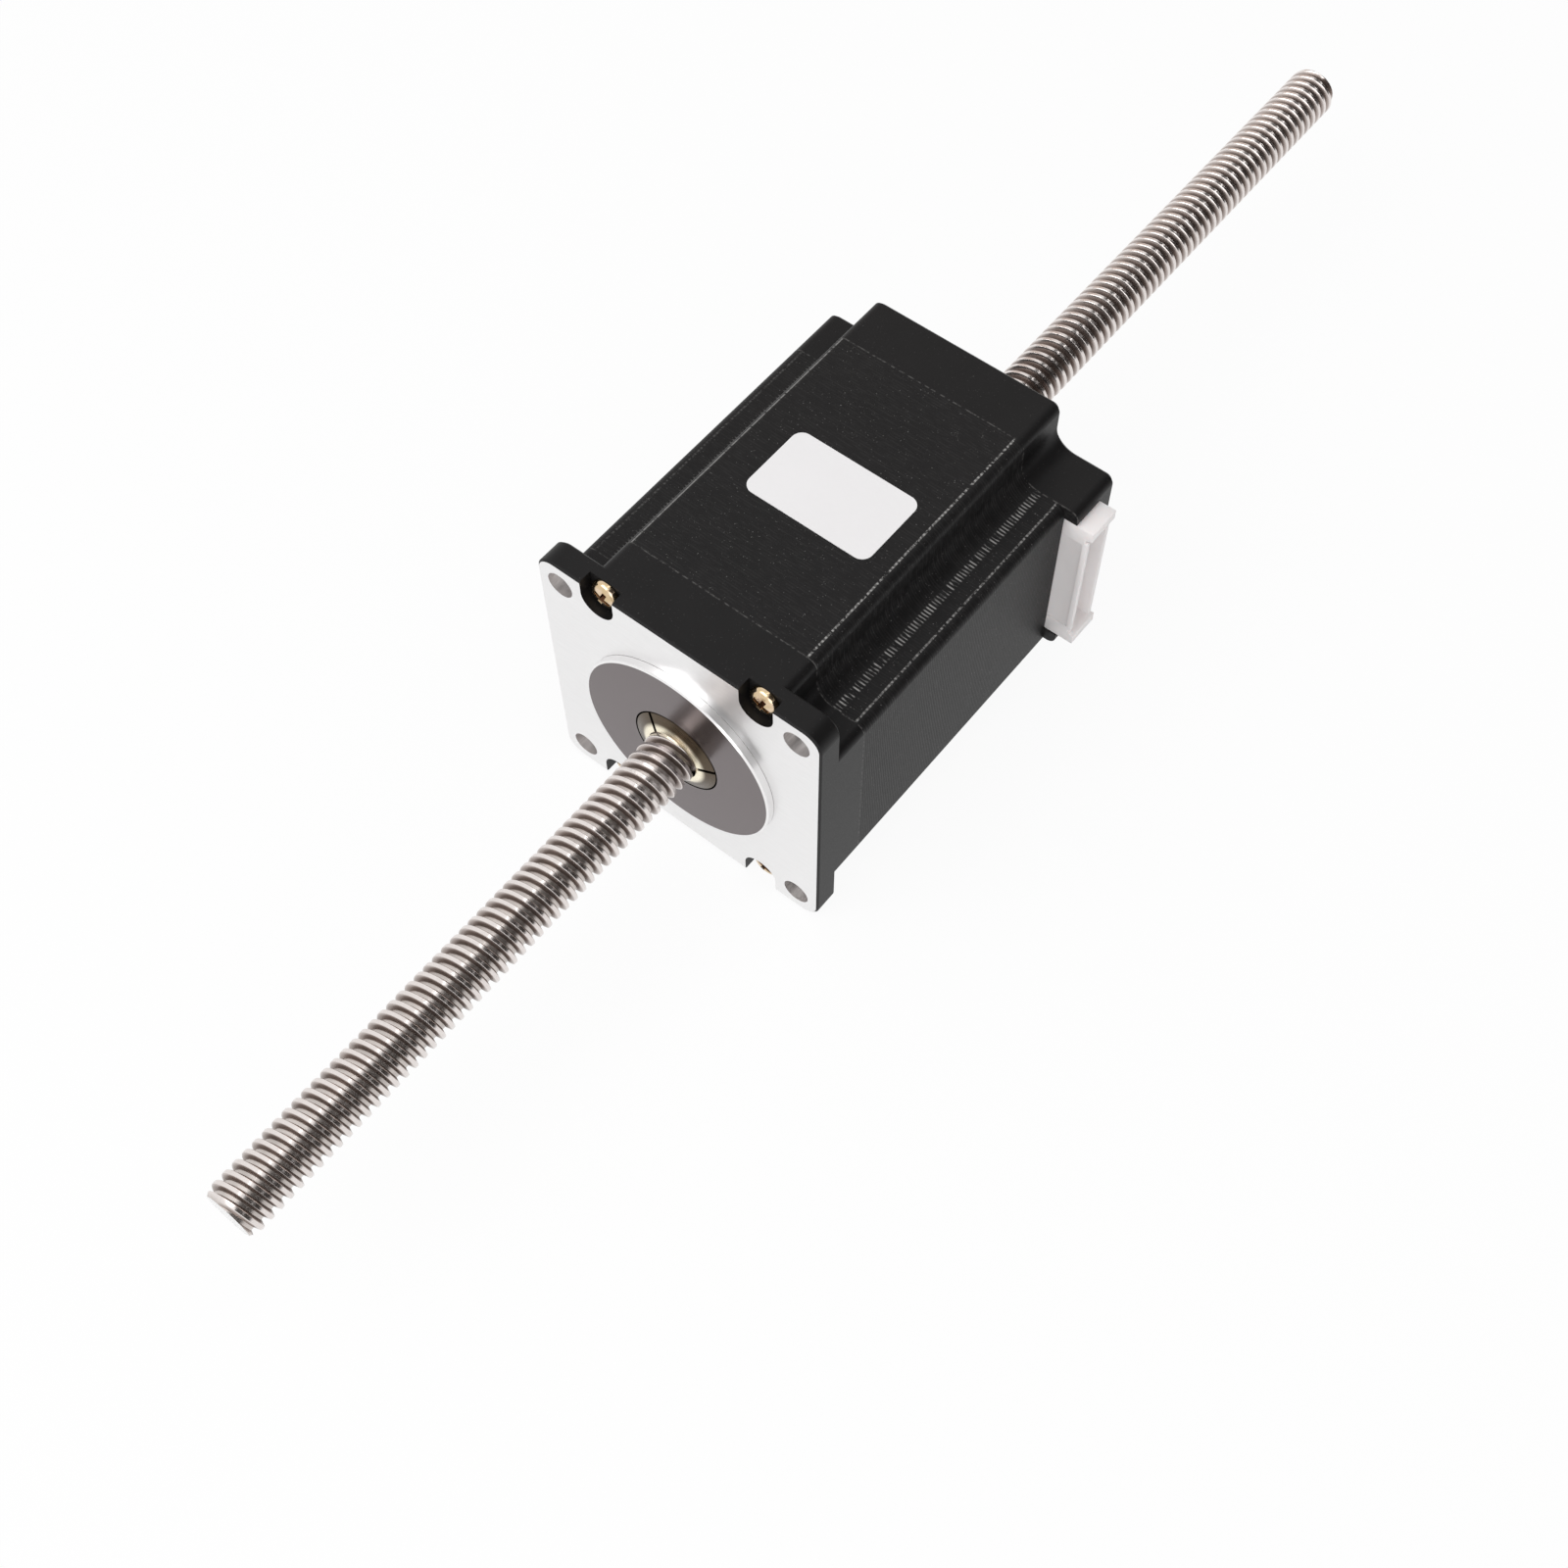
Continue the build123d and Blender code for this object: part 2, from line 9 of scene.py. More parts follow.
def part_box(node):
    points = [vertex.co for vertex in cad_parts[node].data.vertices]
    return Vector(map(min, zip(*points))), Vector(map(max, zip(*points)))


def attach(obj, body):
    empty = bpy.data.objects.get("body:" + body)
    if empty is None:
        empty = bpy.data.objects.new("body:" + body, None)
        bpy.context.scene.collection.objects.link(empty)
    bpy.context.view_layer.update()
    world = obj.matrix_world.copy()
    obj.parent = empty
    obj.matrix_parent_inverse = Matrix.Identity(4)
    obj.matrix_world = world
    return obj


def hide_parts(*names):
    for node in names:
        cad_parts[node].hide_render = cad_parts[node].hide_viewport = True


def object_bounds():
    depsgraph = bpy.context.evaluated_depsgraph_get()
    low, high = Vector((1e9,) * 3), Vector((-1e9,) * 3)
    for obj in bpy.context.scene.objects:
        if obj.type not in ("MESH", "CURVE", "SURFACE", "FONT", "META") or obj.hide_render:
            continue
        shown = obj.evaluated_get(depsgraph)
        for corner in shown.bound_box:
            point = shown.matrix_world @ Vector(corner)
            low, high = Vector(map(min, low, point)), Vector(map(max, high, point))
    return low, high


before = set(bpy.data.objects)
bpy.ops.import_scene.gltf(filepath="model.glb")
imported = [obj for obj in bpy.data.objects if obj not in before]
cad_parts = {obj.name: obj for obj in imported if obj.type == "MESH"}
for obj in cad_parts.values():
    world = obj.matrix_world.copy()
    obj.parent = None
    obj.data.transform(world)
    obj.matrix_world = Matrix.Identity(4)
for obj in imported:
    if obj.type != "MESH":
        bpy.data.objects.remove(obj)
CAD_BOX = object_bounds()

bl_info = {
    "name": "Linear Stepper Motor",
    "version": (1, 0, 0),
    "blender": (4, 5, 0),
    "location": "View3D > Sidebar > Linear Motor",
    "description": "Dresses the linear stepper motor: screw thread, screw heads, connector and finishes",
    "category": "Object",
}

SCREW_FRONT, SCREW_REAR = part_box("lead_screw")
JOINING_LOW, JOINING_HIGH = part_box("assembly_screws")
SHELL_LOW, SHELL_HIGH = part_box("connector_housing")
BELL_LOW, BELL_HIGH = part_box("front_end_bell")
REAR_LOW, REAR_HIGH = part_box("rear_end_bell")
NUT_LOW, NUT_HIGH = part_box("drive_nut")
STACK_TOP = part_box("stator_stack")[1].z
CHAMBER_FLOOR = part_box("front_bearing_outer_ring")[0].y

HOLE_INSET = 0.00463  # from a mounting hole's centre to the flange's edge
HOLE_RADIUS = 0.0025
SHELF_LEVEL = 0.0191  # the step in the stack's corners, up from its middle
TOP_EDGE = 0.01705  # lines of painted highlight along the stack's edges, partly worn paint, out from the stack's middle
GROOVE_EDGE = 0.0179
SHELF_TICKS = 0.0228
SHELF_EDGE = 0.0264
TICK_SPACING = 0.00068
DOT_SPACING = 0.0008
WIRE_SPACING = 0.00048
PIN_SPACING = 0.00396


# Sizes and colours that a user may change


class LeadScrewSettings(bpy.types.PropertyGroup):
    pitch: FloatProperty(
        name="Pitch", description="Distance between neighbouring turns",
        default=0.002, unit="LENGTH", precision=5,
    )
    starts: IntProperty(name="Starts", description="Number of threads side by side", default=2, min=1)
    depth: FloatProperty(name="Depth", description="Thread depth", default=0.0011, unit="LENGTH", precision=5)
    steps: IntProperty(name="Steps", description="Slices in one turn", default=36, min=12)
    first_turn: FloatProperty(
        name="First turn", description="Where a thread root stands on the label side",
        default=0.00032, unit="LENGTH", precision=5,
    )
    end_chamfer: FloatProperty(
        name="End chamfer", description="Chamfer at both screw ends",
        default=0.0009, unit="LENGTH", precision=5,
    )
    crest_colour: FloatVectorProperty(
        name="Crest", description="Polished crests", subtype="COLOR", default=(0.8, 0.745, 0.72)
    )
    root_colour: FloatVectorProperty(
        name="Root", description="Thread roots", subtype="COLOR", default=(0.6, 0.55, 0.52)
    )
    # Painted shade and reflection: this colour darkens the thread flanks for the shade between turns and the
    # dark things they reflect
    flank_colour: FloatVectorProperty(
        name="Flank", description="Thread flanks, dark with oil", subtype="COLOR", default=(0.33, 0.275, 0.25)
    )


class JoiningScrewSettings(bpy.types.PropertyGroup):
    head_diameter: FloatProperty(
        name="Head", description="Head diameter", default=0.0055, unit="LENGTH", precision=5
    )
    head_height: FloatProperty(
        name="Head height", description="Height of the domed head", default=0.0015, unit="LENGTH", precision=5
    )
    shank_diameter: FloatProperty(
        name="Shank", description="Shank diameter", default=0.003, unit="LENGTH", precision=5
    )
    recess_width: FloatProperty(
        name="Recess width", description="Width of one arm of the cross",
        default=0.00095, unit="LENGTH", precision=5,
    )
    recess_span: FloatProperty(
        name="Recess span", description="Length across the cross", default=0.0037, unit="LENGTH", precision=5
    )
    colour: FloatVectorProperty(
        name="Plating", description="Yellow zinc plating", subtype="COLOR", default=(0.66, 0.5, 0.3)
    )


class BearingSettings(bpy.types.PropertyGroup):
    ball_diameter: FloatProperty(
        name="Ball", description="Ball diameter", default=0.0034, unit="LENGTH", precision=5
    )
    ball_count: IntProperty(name="Balls", description="Balls in one bearing", default=9, min=3)
    pitch_radius: FloatProperty(
        name="Ball circle", description="Radius of the circle of ball centres",
        default=0.013, unit="LENGTH", precision=5,
    )
    first_angle: FloatProperty(
        name="First ball", description="Angle of the first ball",
        default=0.0, subtype="ANGLE", unit="ROTATION",
    )


class ConnectorSettings(bpy.types.PropertyGroup):
    wall: FloatProperty(
        name="Wall", description="Thickness of the long walls", default=0.0009, unit="LENGTH", precision=5
    )
    end_block: FloatProperty(
        name="End block", description="Thickness of the end walls", default=0.002, unit="LENGTH", precision=5
    )
    floor: FloatProperty(
        name="Floor", description="Thickness of the socket floor", default=0.0015, unit="LENGTH", precision=5
    )
    step: FloatProperty(
        name="Step", description="How far the end walls stand past the long walls",
        default=0.0007, unit="LENGTH", precision=5,
    )
    panel_depth: FloatProperty(
        name="Panel", description="Depth of the shallow panel on the long walls",
        default=0.00025, unit="LENGTH", precision=5,
    )
    edge_round: FloatProperty(
        name="Edge", description="Rounding of the moulded edges", default=0.0001, unit="LENGTH", precision=5
    )
    colour: FloatVectorProperty(
        name="Nylon", description="Natural nylon", subtype="COLOR", default=(0.94, 0.89, 0.885)
    )


class FinishSettings(bpy.types.PropertyGroup):
    black: FloatVectorProperty(
        name="Black paint", description="Paint on bells and laminations",
        subtype="COLOR", default=(0.0085, 0.008, 0.0082),
    )
    bare: FloatVectorProperty(
        name="Bare aluminium", description="Milled mounting face",
        subtype="COLOR", default=(0.87, 0.865, 0.865),
    )
    boss: FloatVectorProperty(
        name="Boss face", description="Turned boss face", subtype="COLOR", default=(0.155, 0.132, 0.134)
    )
    brass: FloatVectorProperty(
        name="Nut", description="Pale brass", subtype="COLOR", default=(0.9, 0.83, 0.66)
    )
    paper: FloatVectorProperty(
        name="Label", description="Blank satin label", subtype="COLOR", default=(0.9, 0.885, 0.89)
    )
    lamination: FloatProperty(
        name="Lamination", description="Thickness of one steel sheet",
        default=0.0005, unit="LENGTH", precision=5,
    )


class StageSettings(bpy.types.PropertyGroup):
    key: FloatProperty(name="Key", description="Power of the large soft lamp in watts", default=4.3, min=0.0)
    front: FloatProperty(
        name="Front fill", description="Power of the soft lamp beside the camera in watts",
        default=1.2, min=0.0,
    )
    streak: FloatProperty(
        name="Streak", description="Power of the long narrow lamp over the screw in watts",
        default=0.5, min=0.0,
    )
    fill: FloatProperty(name="Fill", description="Strength of the room light", default=0.55, min=0.0)
    shadow: FloatProperty(
        name="Shadow", description="Share of the floor's own shading that shows",
        default=0.07, min=0.0, max=1.0,
    )
    lens: FloatProperty(name="Lens", description="Focal length in millimetres", default=46.971)
    shift: BoolProperty(name="Shift", description="Keep the photograph's framing", default=True)


# Nodes and finishes


class Wire:
    """A value or colour inside a node tree, with the usual signs of arithmetic."""

    def __init__(self, owner, socket):
        self.owner = owner
        self.socket = socket

    def _sum(self, operation, *values):
        return self.owner.node("ShaderNodeMath", {"operation": operation}, dict(enumerate(values)))

    def __add__(self, other):
        return self._sum("ADD", self, other)

    def __radd__(self, other):
        return self._sum("ADD", other, self)

    def __sub__(self, other):
        return self._sum("SUBTRACT", self, other)

    def __rsub__(self, other):
        return self._sum("SUBTRACT", other, self)

    def __mul__(self, other):
        return self._sum("MULTIPLY", self, other)

    def __rmul__(self, other):
        return self._sum("MULTIPLY", other, self)

    def __truediv__(self, other):
        return self._sum("DIVIDE", self, other)

    def __rtruediv__(self, other):
        return self._sum("DIVIDE", other, self)

    def __neg__(self):
        return self._sum("MULTIPLY", self, -1.0)

    def __abs__(self):
        return self._sum("ABSOLUTE", self)

    def __gt__(self, other):
        return self._sum("GREATER_THAN", self, other)

    def __lt__(self, other):
        return self._sum("LESS_THAN", self, other)

    def sine(self):
        return self._sum("SINE", self)

    def root(self):
        return self._sum("SQRT", self)


class Nodes:
    """A node tree, with one way to add a node and feed it."""

    def __init__(self, tree):
        self.tree = tree

    def feed(self, socket, value):
        """Links a wire to a socket, or sets the socket's own value."""
        if isinstance(value, Wire):
            self.tree.links.new(value.socket, socket)
        elif socket.type == "RGBA" and len(value) == 3:
            socket.default_value = (*value, 1.0)
        else:
            socket.default_value = value

    def node(self, kind, settings=None, sockets=None, out=0):
        """Adds a node of a kind, with its settings first and then its sockets' values or links."""
        made = self.tree.nodes.new(kind)
        for label, value in (settings or {}).items():
            setattr(made, label, value)
        for label, value in (sockets or {}).items():
            self.feed(made.inputs[label], value)
        return Wire(self, made.outputs[out])

    def seen_directly(self):
        """1 where the camera, a reflection or glass looks, and 0 where light only bounces."""
        camera, mirror, glass = (
            self.node("ShaderNodeLightPath", out=ray)
            for ray in ("Is Camera Ray", "Is Glossy Ray", "Is Transmission Ray")
        )
        return camera + mirror + glass > 0.5


class Finish(Nodes):
    """One surface finish: a material, its shader and the nodes that feed it."""

    def __init__(self, name, **constants):
        self.material = bpy.data.materials.new(name)
        self.material.use_nodes = True
        super().__init__(self.material.node_tree)
        self.shader = self.tree.nodes["Principled BSDF"]
        for label, value in constants.items():
            self.set(label.replace("_", " "), value)

    def set(self, label, value):
        self.feed(self.shader.inputs[label], value)

    def coordinate(self, kind):
        return self.node("ShaderNodeTexCoord", out=kind)

    def parts(self, kind):
        """X, Y and Z of the Object place or of the Normal."""
        split = self.tree.nodes.new("ShaderNodeSeparateXYZ")
        self.feed(split.inputs[0], self.coordinate(kind))
        return [Wire(self, output) for output in split.outputs]

    def place(self):
        return self.parts("Object")

    def facing(self):
        return self.parts("Normal")

    def noise(self, scale, detail=2.0, over=None):
        """Noise over the surface's place, or over another vector."""
        sockets = {"Vector": over or self.coordinate("Object"), "Scale": scale, "Detail": detail}
        return self.node("ShaderNodeTexNoise", None, sockets)

    def streaks(self, factors, detail=3.0):
        """Noise that is finer along the axes with the larger factors."""
        sockets = {0: self.coordinate("Object"), 1: factors}
        return self.noise(1.0, detail, self.node("ShaderNodeVectorMath", {"operation": "MULTIPLY"}, sockets))

    def lathe_marks(self, radius, y, fineness, detail):
        """Noise in rings round the motor's axis."""
        rings = self.node("ShaderNodeCombineXYZ", None, {0: radius * fineness, 1: y * fineness})
        return self.noise(1.0, detail, rings)

    def step(self, value, low, high):
        """0 below low, 1 above high and a smooth change between."""
        sockets = {"Value": value, "From Min": low, "From Max": high}
        return self.node("ShaderNodeMapRange", {"interpolation_type": "SMOOTHSTEP"}, sockets)

    def band(self, value, middle, half):
        """1 on a line and 0 half a width away."""
        return 1.0 - self.step(abs(value - middle), half * 0.5, half)

    def blend(self, mask, under, over):
        """One colour where the mask is 0 and the other where it is 1."""
        return self.node("ShaderNodeMix", {"data_type": "RGBA"}, {0: mask, 6: under, 7: over}, out=2)

    def shade(self, colour, factor):
        """A colour made lighter or darker by a factor that changes over the surface."""
        return self.node("ShaderNodeVectorMath", {"operation": "SCALE"}, {0: colour, "Scale": factor})

    def surface(self, colour, roughness, height, depth, strength):
        """Sets the colour, the roughness and a relief of a height up to a depth in metres."""
        self.set("Base Color", colour)
        self.set("Roughness", roughness)
        sockets = {"Height": height, "Distance": depth, "Strength": strength}
        self.set("Normal", self.node("ShaderNodeBump", None, sockets))
        return self


def from_axis(x, z):
    """The distance from a line along Y."""
    return (x * x + z * z).root()


def wave(along, spacing):
    """A wave between -1 and 1 that repeats along a direction."""
    return (along * (2.0 * math.pi / spacing)).sine()


def dress(names, finish):
    """Gives nodes of the frame their finish."""
    for name in names:
        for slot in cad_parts[name].material_slots:
            slot.material = finish.material


def black_paint(finish, base, dust):
    """Black enamel with a fine grain and a few pale specks: its colour, roughness and height."""
    grain = finish.noise(5200.0, 3.0)
    cloud = finish.noise(140.0)
    specks = finish.step(finish.noise(3600.0, 1.0), 0.72, 0.78)
    colour = finish.blend(specks * dust, finish.shade(base, 0.75 + 0.5 * cloud), (0.4, 0.39, 0.38))
    rough = 0.36 + 0.16 * grain
    return colour, rough, grain


def speckled_seam(finish, y, level):
    """A broken pale line where a bell meets the stack."""
    broken = finish.step(finish.noise(1100.0), 0.42, 0.6)
    return finish.band(y, level, 0.00016) * broken * 0.24


def milled_front_bell(settings):
    """Black paint, a milled bare mounting face and mounting holes, and a turned boss."""
    finish = Finish("black_bell_with_milled_face", Specular_IOR_Level=0.18)
    x, y, z = finish.place()
    radius = from_axis(x, z)
    black, rough, grain = black_paint(finish, settings.black, 0.1)
    # The small distances let each mask reach just past its own form
    front = finish.step(-finish.facing()[1], 0.85, 0.95)
    face = front * (abs(y) < 0.00012)
    boss_face = front * (y < BELL_LOW.y + 0.0002)
    boss_wall = (y < -0.00004) * (1.0 - boss_face)
    hole_place = BELL_HIGH.x - HOLE_INSET
    from_hole = from_axis(abs(x) - hole_place, abs(z) - hole_place)
    hole_wall = (from_hole < HOLE_RADIUS + 0.00016) * (1.0 - face)
    shaded_bore = (radius < NUT_HIGH.x + 0.0009) * (y < CHAMBER_FLOOR)
    marks = finish.streaks((260.0, 30.0, 2600.0))
    turned = finish.lathe_marks(radius, y, 5200.0, 2.0)
    bright = finish.shade(settings.bare, 0.94 + 0.1 * marks)
    boss = finish.shade(settings.boss, 0.92 + 0.16 * turned)
    hole_metal = finish.shade((0.86, 0.83, 0.82), 0.7 + 0.5 * marks)
    colour = finish.blend(speckled_seam(finish, y, BELL_HIGH.y - 0.00012), black, (0.3, 0.29, 0.28))
    colour = finish.blend(hole_wall, colour, hole_metal)
    colour = finish.blend(face, colour, bright)
    colour = finish.blend(boss_wall, colour, (0.86, 0.85, 0.85))
    colour = finish.blend(boss_face, colour, boss)
    # Painted shade: the hole round the nut is coloured dark brown for the shade that falls down inside it
    colour = finish.blend(shaded_bore * (1.0 - boss_face), colour, (0.12, 0.105, 0.1))
    metal = finish.step(face + boss_wall + boss_face + hole_wall + shaded_bore, 0.2, 0.6)
    polish = 0.3 - 0.22 * boss_wall - 0.1 * boss_face + 0.06 * marks
    cuts = 0.12 * marks * face + 0.9 * turned * boss_face
    finish.set("Metallic", metal * 0.9)
    return finish.surface(
        colour,
        rough * (1.0 - metal) + metal * polish,
        grain * (1.0 - metal) * 0.7 + metal * cuts, 0.00003, 0.5,
    )


def black_rear_bell(settings):
    """Black paint with small pale nicks round the rear face."""
    finish = Finish("black_rear_bell", Specular_IOR_Level=0.18)
    y = finish.place()[1]
    black, rough, grain = black_paint(finish, settings.black, 0.1)
    seam = speckled_seam(finish, y, REAR_LOW.y + 0.00014)
    nicks = finish.step(finish.noise(1500.0, 3.0), 0.66, 0.74)
    nicks = nicks * finish.step(y, REAR_HIGH.y - 0.001, REAR_HIGH.y)
    return finish.surface(
        finish.blend(seam + nicks * 0.3, black, (0.3, 0.29, 0.28)),
        rough,
        grain, 0.00003, 0.4,
    )


def black_laminations(settings):
    """Black paint over stacked sheets, with pale dots and ticks along their edges: partly worn paint, partly
    painted highlight where the edges catch the light.
    """
    finish = Finish("black_painted_laminations", Specular_IOR_Level=0.18)
    x, y, z = finish.place()
    black, rough, grain = black_paint(finish, settings.black, 0.32)
    sheet = 0.5 + 0.5 * wave(y, settings.lamination)
    broken = finish.streaks((420.0, 2000.0, 420.0))
    patches = finish.streaks((160.0, 420.0, 160.0), 2.0)
    ridge = sheet * finish.step(broken, 0.42, 0.62)
    across = abs(x)
    right = x > 0.0
    # Painted highlight, partly worn paint: pale lines along the convex edges, mostly on the +X side where
    # light falls, stand in for the light they catch
    shelf = (abs(abs(z) - SHELF_LEVEL) < 0.0004) * (0.25 + 0.75 * right)
    upper = finish.band(across, TOP_EDGE, 0.00024) * (z > STACK_TOP - 0.0004) * right
    lower = finish.band(across, SHELF_EDGE, 0.00024) * shelf
    ticks = finish.band(across, SHELF_TICKS, 0.0009) * shelf
    strokes = finish.step(wave(y, TICK_SPACING), 0.0, 0.8) * finish.step(broken, 0.38, 0.54)
    left_edge_highlight = finish.band(x, -GROOVE_EDGE, 0.0002) * (z > STACK_TOP - 0.0008)
    left_edge_highlight = left_edge_highlight * finish.step(broken, 0.3, 0.5)
    dots = 0.4 + 0.6 * finish.step(wave(y, DOT_SPACING), -0.3, 0.6)
    dots = dots * finish.step(finish.streaks((1500.0, 2400.0, 1500.0), 1.0), 0.36, 0.56)
    # Painted light: sheet ridges are coloured lighter on the side faces
    side = finish.step(abs(finish.facing()[0]), 0.8, 0.95)
    wear_and_highlight = (upper * 0.8 + lower * 0.6) * dots + ticks * strokes * (0.3 + 0.9 * patches)
    wear_and_highlight = wear_and_highlight + left_edge_highlight * 0.5 + ridge * (0.02 + side * 0.03)
    return finish.surface(
        finish.blend(wear_and_highlight, black, (0.42, 0.41, 0.4)),
        rough + 0.1 * broken,
        sheet * (0.35 + 0.65 * broken) + 0.2 * grain, 0.00005, 0.55,
    )


def turned_metal(name, colour, rough=0.28, line=4200.0, depth=0.00001):
    """Lathe marks round the screw axis."""
    finish = Finish(name, Metallic=1.0)
    x, y, z = finish.place()
    marks = finish.lathe_marks(from_axis(x, z), y, line, 3.0)
    cloud = finish.noise(260.0)
    return finish.surface(
        finish.shade(colour, 0.78 + 0.22 * marks + 0.22 * cloud),
        rough + 0.16 * marks,
        marks, depth, 0.5,
    )


def pale_brass_nut(settings):
    """A turned brass nut, with shade painted dark down in its slits and along the rim of its face."""
    finish = turned_metal("pale_brass_nut", settings.brass, rough=0.2, line=3600.0, depth=0.00002)
    x, y, z = finish.place()
    front, rim = NUT_LOW.y, NUT_HIGH.x
    # Painted shade: the slits and the rim of the face are coloured dark brown where shade falls
    near = finish.step(y, front + 0.004, front + 0.002)
    deep = finish.step(y, front + 0.00015, front + 0.0005)
    edge = finish.step(from_axis(x, z), rim - 0.0004, rim - 0.0001)
    dark = near * (deep + edge - deep * edge)
    brass = finish.shade(settings.brass, 0.95 + 0.3 * finish.noise(420.0))
    finish.set("Base Color", finish.blend(dark, brass, (0.1, 0.075, 0.05)))
    return finish


def stacked_rotor_steel(settings):
    """Ground silicon steel sheets on edge."""
    finish = Finish("ground_rotor_laminations", Metallic=1.0)
    y = finish.place()[1]
    sheet = 0.5 + 0.5 * wave(y, settings.lamination)
    grind = finish.streaks((3000.0, 200.0, 3000.0))
    return finish.surface(
        finish.shade((0.38, 0.375, 0.38), 0.7 + 0.25 * sheet + 0.2 * grind),
        0.34 + 0.2 * grind,
        sheet, 0.00003, 0.4,
    )


def moulded(name, colour, rough):
    """Moulded nylon with a slightly cloudy colour."""
    finish = Finish(name, Specular_IOR_Level=0.45)
    cloud = finish.noise(120.0)
    grain = finish.noise(1900.0, 3.0)
    return finish.surface(
        finish.shade(colour, 0.94 + 0.08 * cloud),
        rough + 0.12 * grain,
        grain, 0.00002, 0.35,
    )


def wound_copper():
    """Enamelled wire laid turn beside turn round each pole."""
    finish = Finish("enamelled_copper_windings", Metallic=0.85)
    x, _, z = finish.place()
    turns = 0.5 + 0.5 * wave(from_axis(x, z), WIRE_SPACING)
    lay = finish.noise(700.0)
    return finish.surface(
        finish.shade((0.66, 0.27, 0.09), 0.45 + 0.55 * turns + 0.25 * lay),
        0.3 + 0.15 * lay,
        turns, 0.00018, 0.8,
    )


def enamelled_leads():
    """The ends of the same wire, smooth and a little cloudy."""
    finish = Finish("enamelled_coil_leads", Metallic=0.8)
    cloud = finish.noise(800.0)
    finish.set("Base Color", finish.shade((0.62, 0.25, 0.09), 0.75 + 0.5 * cloud))
    finish.set("Roughness", 0.28 + 0.2 * cloud)
    return finish


def plated(name, colour, rough=0.22):
    """A thin bright plating with fine spotting."""
    finish = Finish(name, Metallic=1.0)
    spots = finish.noise(1300.0, 3.0)
    return finish.surface(
        finish.shade(colour, 0.86 + 0.28 * spots),
        rough + 0.18 * spots,
        spots, 0.00001, 0.3,
    )


def solder_mask_board():
    """Green board with a faint weave, and tracks that run between the pins."""
    finish = Finish("green_terminal_board", Specular_IOR_Level=0.5)
    x, _, z = finish.place()
    weave = 0.5 + 0.25 * (x * 9000.0).sine() + 0.25 * (z * 9000.0).sine()
    half = PIN_SPACING / 2.0
    there_and_back = finish.node("ShaderNodeMath", {"operation": "PINGPONG"}, {0: z, 1: half})
    tracks = finish.band(there_and_back, half, 0.0007)
    colour = finish.blend(tracks, (0.03, 0.14, 0.05), (0.05, 0.24, 0.08))
    return finish.surface(
        finish.shade(colour, 0.85 + 0.3 * weave),
        0.26 + 0.1 * weave,
        tracks + 0.2 * weave, 0.00003, 0.5,
    )


def blank_satin_label(settings):
    """A blank satin label: nothing is printed on it."""
    finish = Finish("blank_satin_label", Specular_IOR_Level=0.4)
    fibres = finish.streaks((900.0, 1500.0, 900.0))
    cloud = finish.noise(90.0, 1.0)
    return finish.surface(
        finish.shade(settings.paper, 0.965 + 0.03 * cloud + 0.02 * fibres),
        0.4 + 0.14 * fibres,
        fibres, 0.00001, 0.3,
    )


def rolled_screw_steel(settings):
    """Rolled stainless thread: bright crests, duller roots, flanks painted dark for their shade and the dark
    reflections they pick up, and fine marks along them.
    """
    finish = Finish("rolled_stainless_thread", Metallic=1.0)
    x, y, z = finish.place()
    crest_radius = SCREW_REAR.x
    rise = finish.step(from_axis(x, z), crest_radius - 0.0009, crest_radius - 0.0002)
    # Painted shade: steep flanks are coloured dark, standing in for shade and dark reflections
    shaded_flank = finish.step(abs(finish.facing()[1]), 0.78, 0.9)
    streaks = finish.streaks((2600.0, 500.0, 2600.0))
    stain = 0.7 + 0.6 * finish.noise(330.0)
    root = finish.shade(settings.root_colour, stain)
    crest = finish.shade(settings.crest_colour, 0.92 + 0.12 * streaks)
    side = finish.shade(settings.flank_colour, stain)
    cut = (y < SCREW_FRONT.y + 0.00002) + (y > SCREW_REAR.y - 0.00002)
    sawn = finish.shade((0.5, 0.45, 0.43), 0.35 + 0.9 * finish.noise(420.0, 3.0))
    thread = finish.blend(shaded_flank, finish.blend(rise, root, crest), side)
    return finish.surface(
        finish.blend(cut, thread, sawn),
        0.3 - 0.12 * rise + 0.08 * streaks + 0.1 * shaded_flank,
        streaks, 0.000004, 0.3,
    )


def yellow_zinc(settings):
    """Cloudy yellow plating, with shade painted dark down in the cross recess."""
    finish = Finish("yellow_zinc_screws", Metallic=1.0)
    x, y, z = finish.place()
    head = settings.head_diameter / 2.0
    from_screw = from_axis(abs(x) - (JOINING_HIGH.x - head), abs(z) - (JOINING_HIGH.z - head))
    # Painted shade: the deeper part of the cross recess is coloured dark brown for the shade inside it
    below = finish.step(y, JOINING_LOW.y + 0.00026, JOINING_LOW.y + 0.00045)
    recess = below * (from_screw < settings.recess_span * 0.5)
    cloud = finish.noise(700.0)
    hue = finish.blend(finish.step(cloud, 0.35, 0.7), settings.colour, (0.78, 0.62, 0.46))
    return finish.surface(
        finish.blend(recess, hue, (0.16, 0.075, 0.04)),
        0.13 + 0.12 * cloud,
        cloud, 0.00001, 0.3,
    )


# Geometry


def mesh_piece(name, corners, faces):
    """A new object at the origin whose place is in its mesh."""
    mesh = bpy.data.meshes.new(name)
    mesh.from_pydata(corners, [], faces)
    mesh.update()
    piece = bpy.data.objects.new(name, mesh)
    bpy.context.scene.collection.objects.link(piece)
    return piece


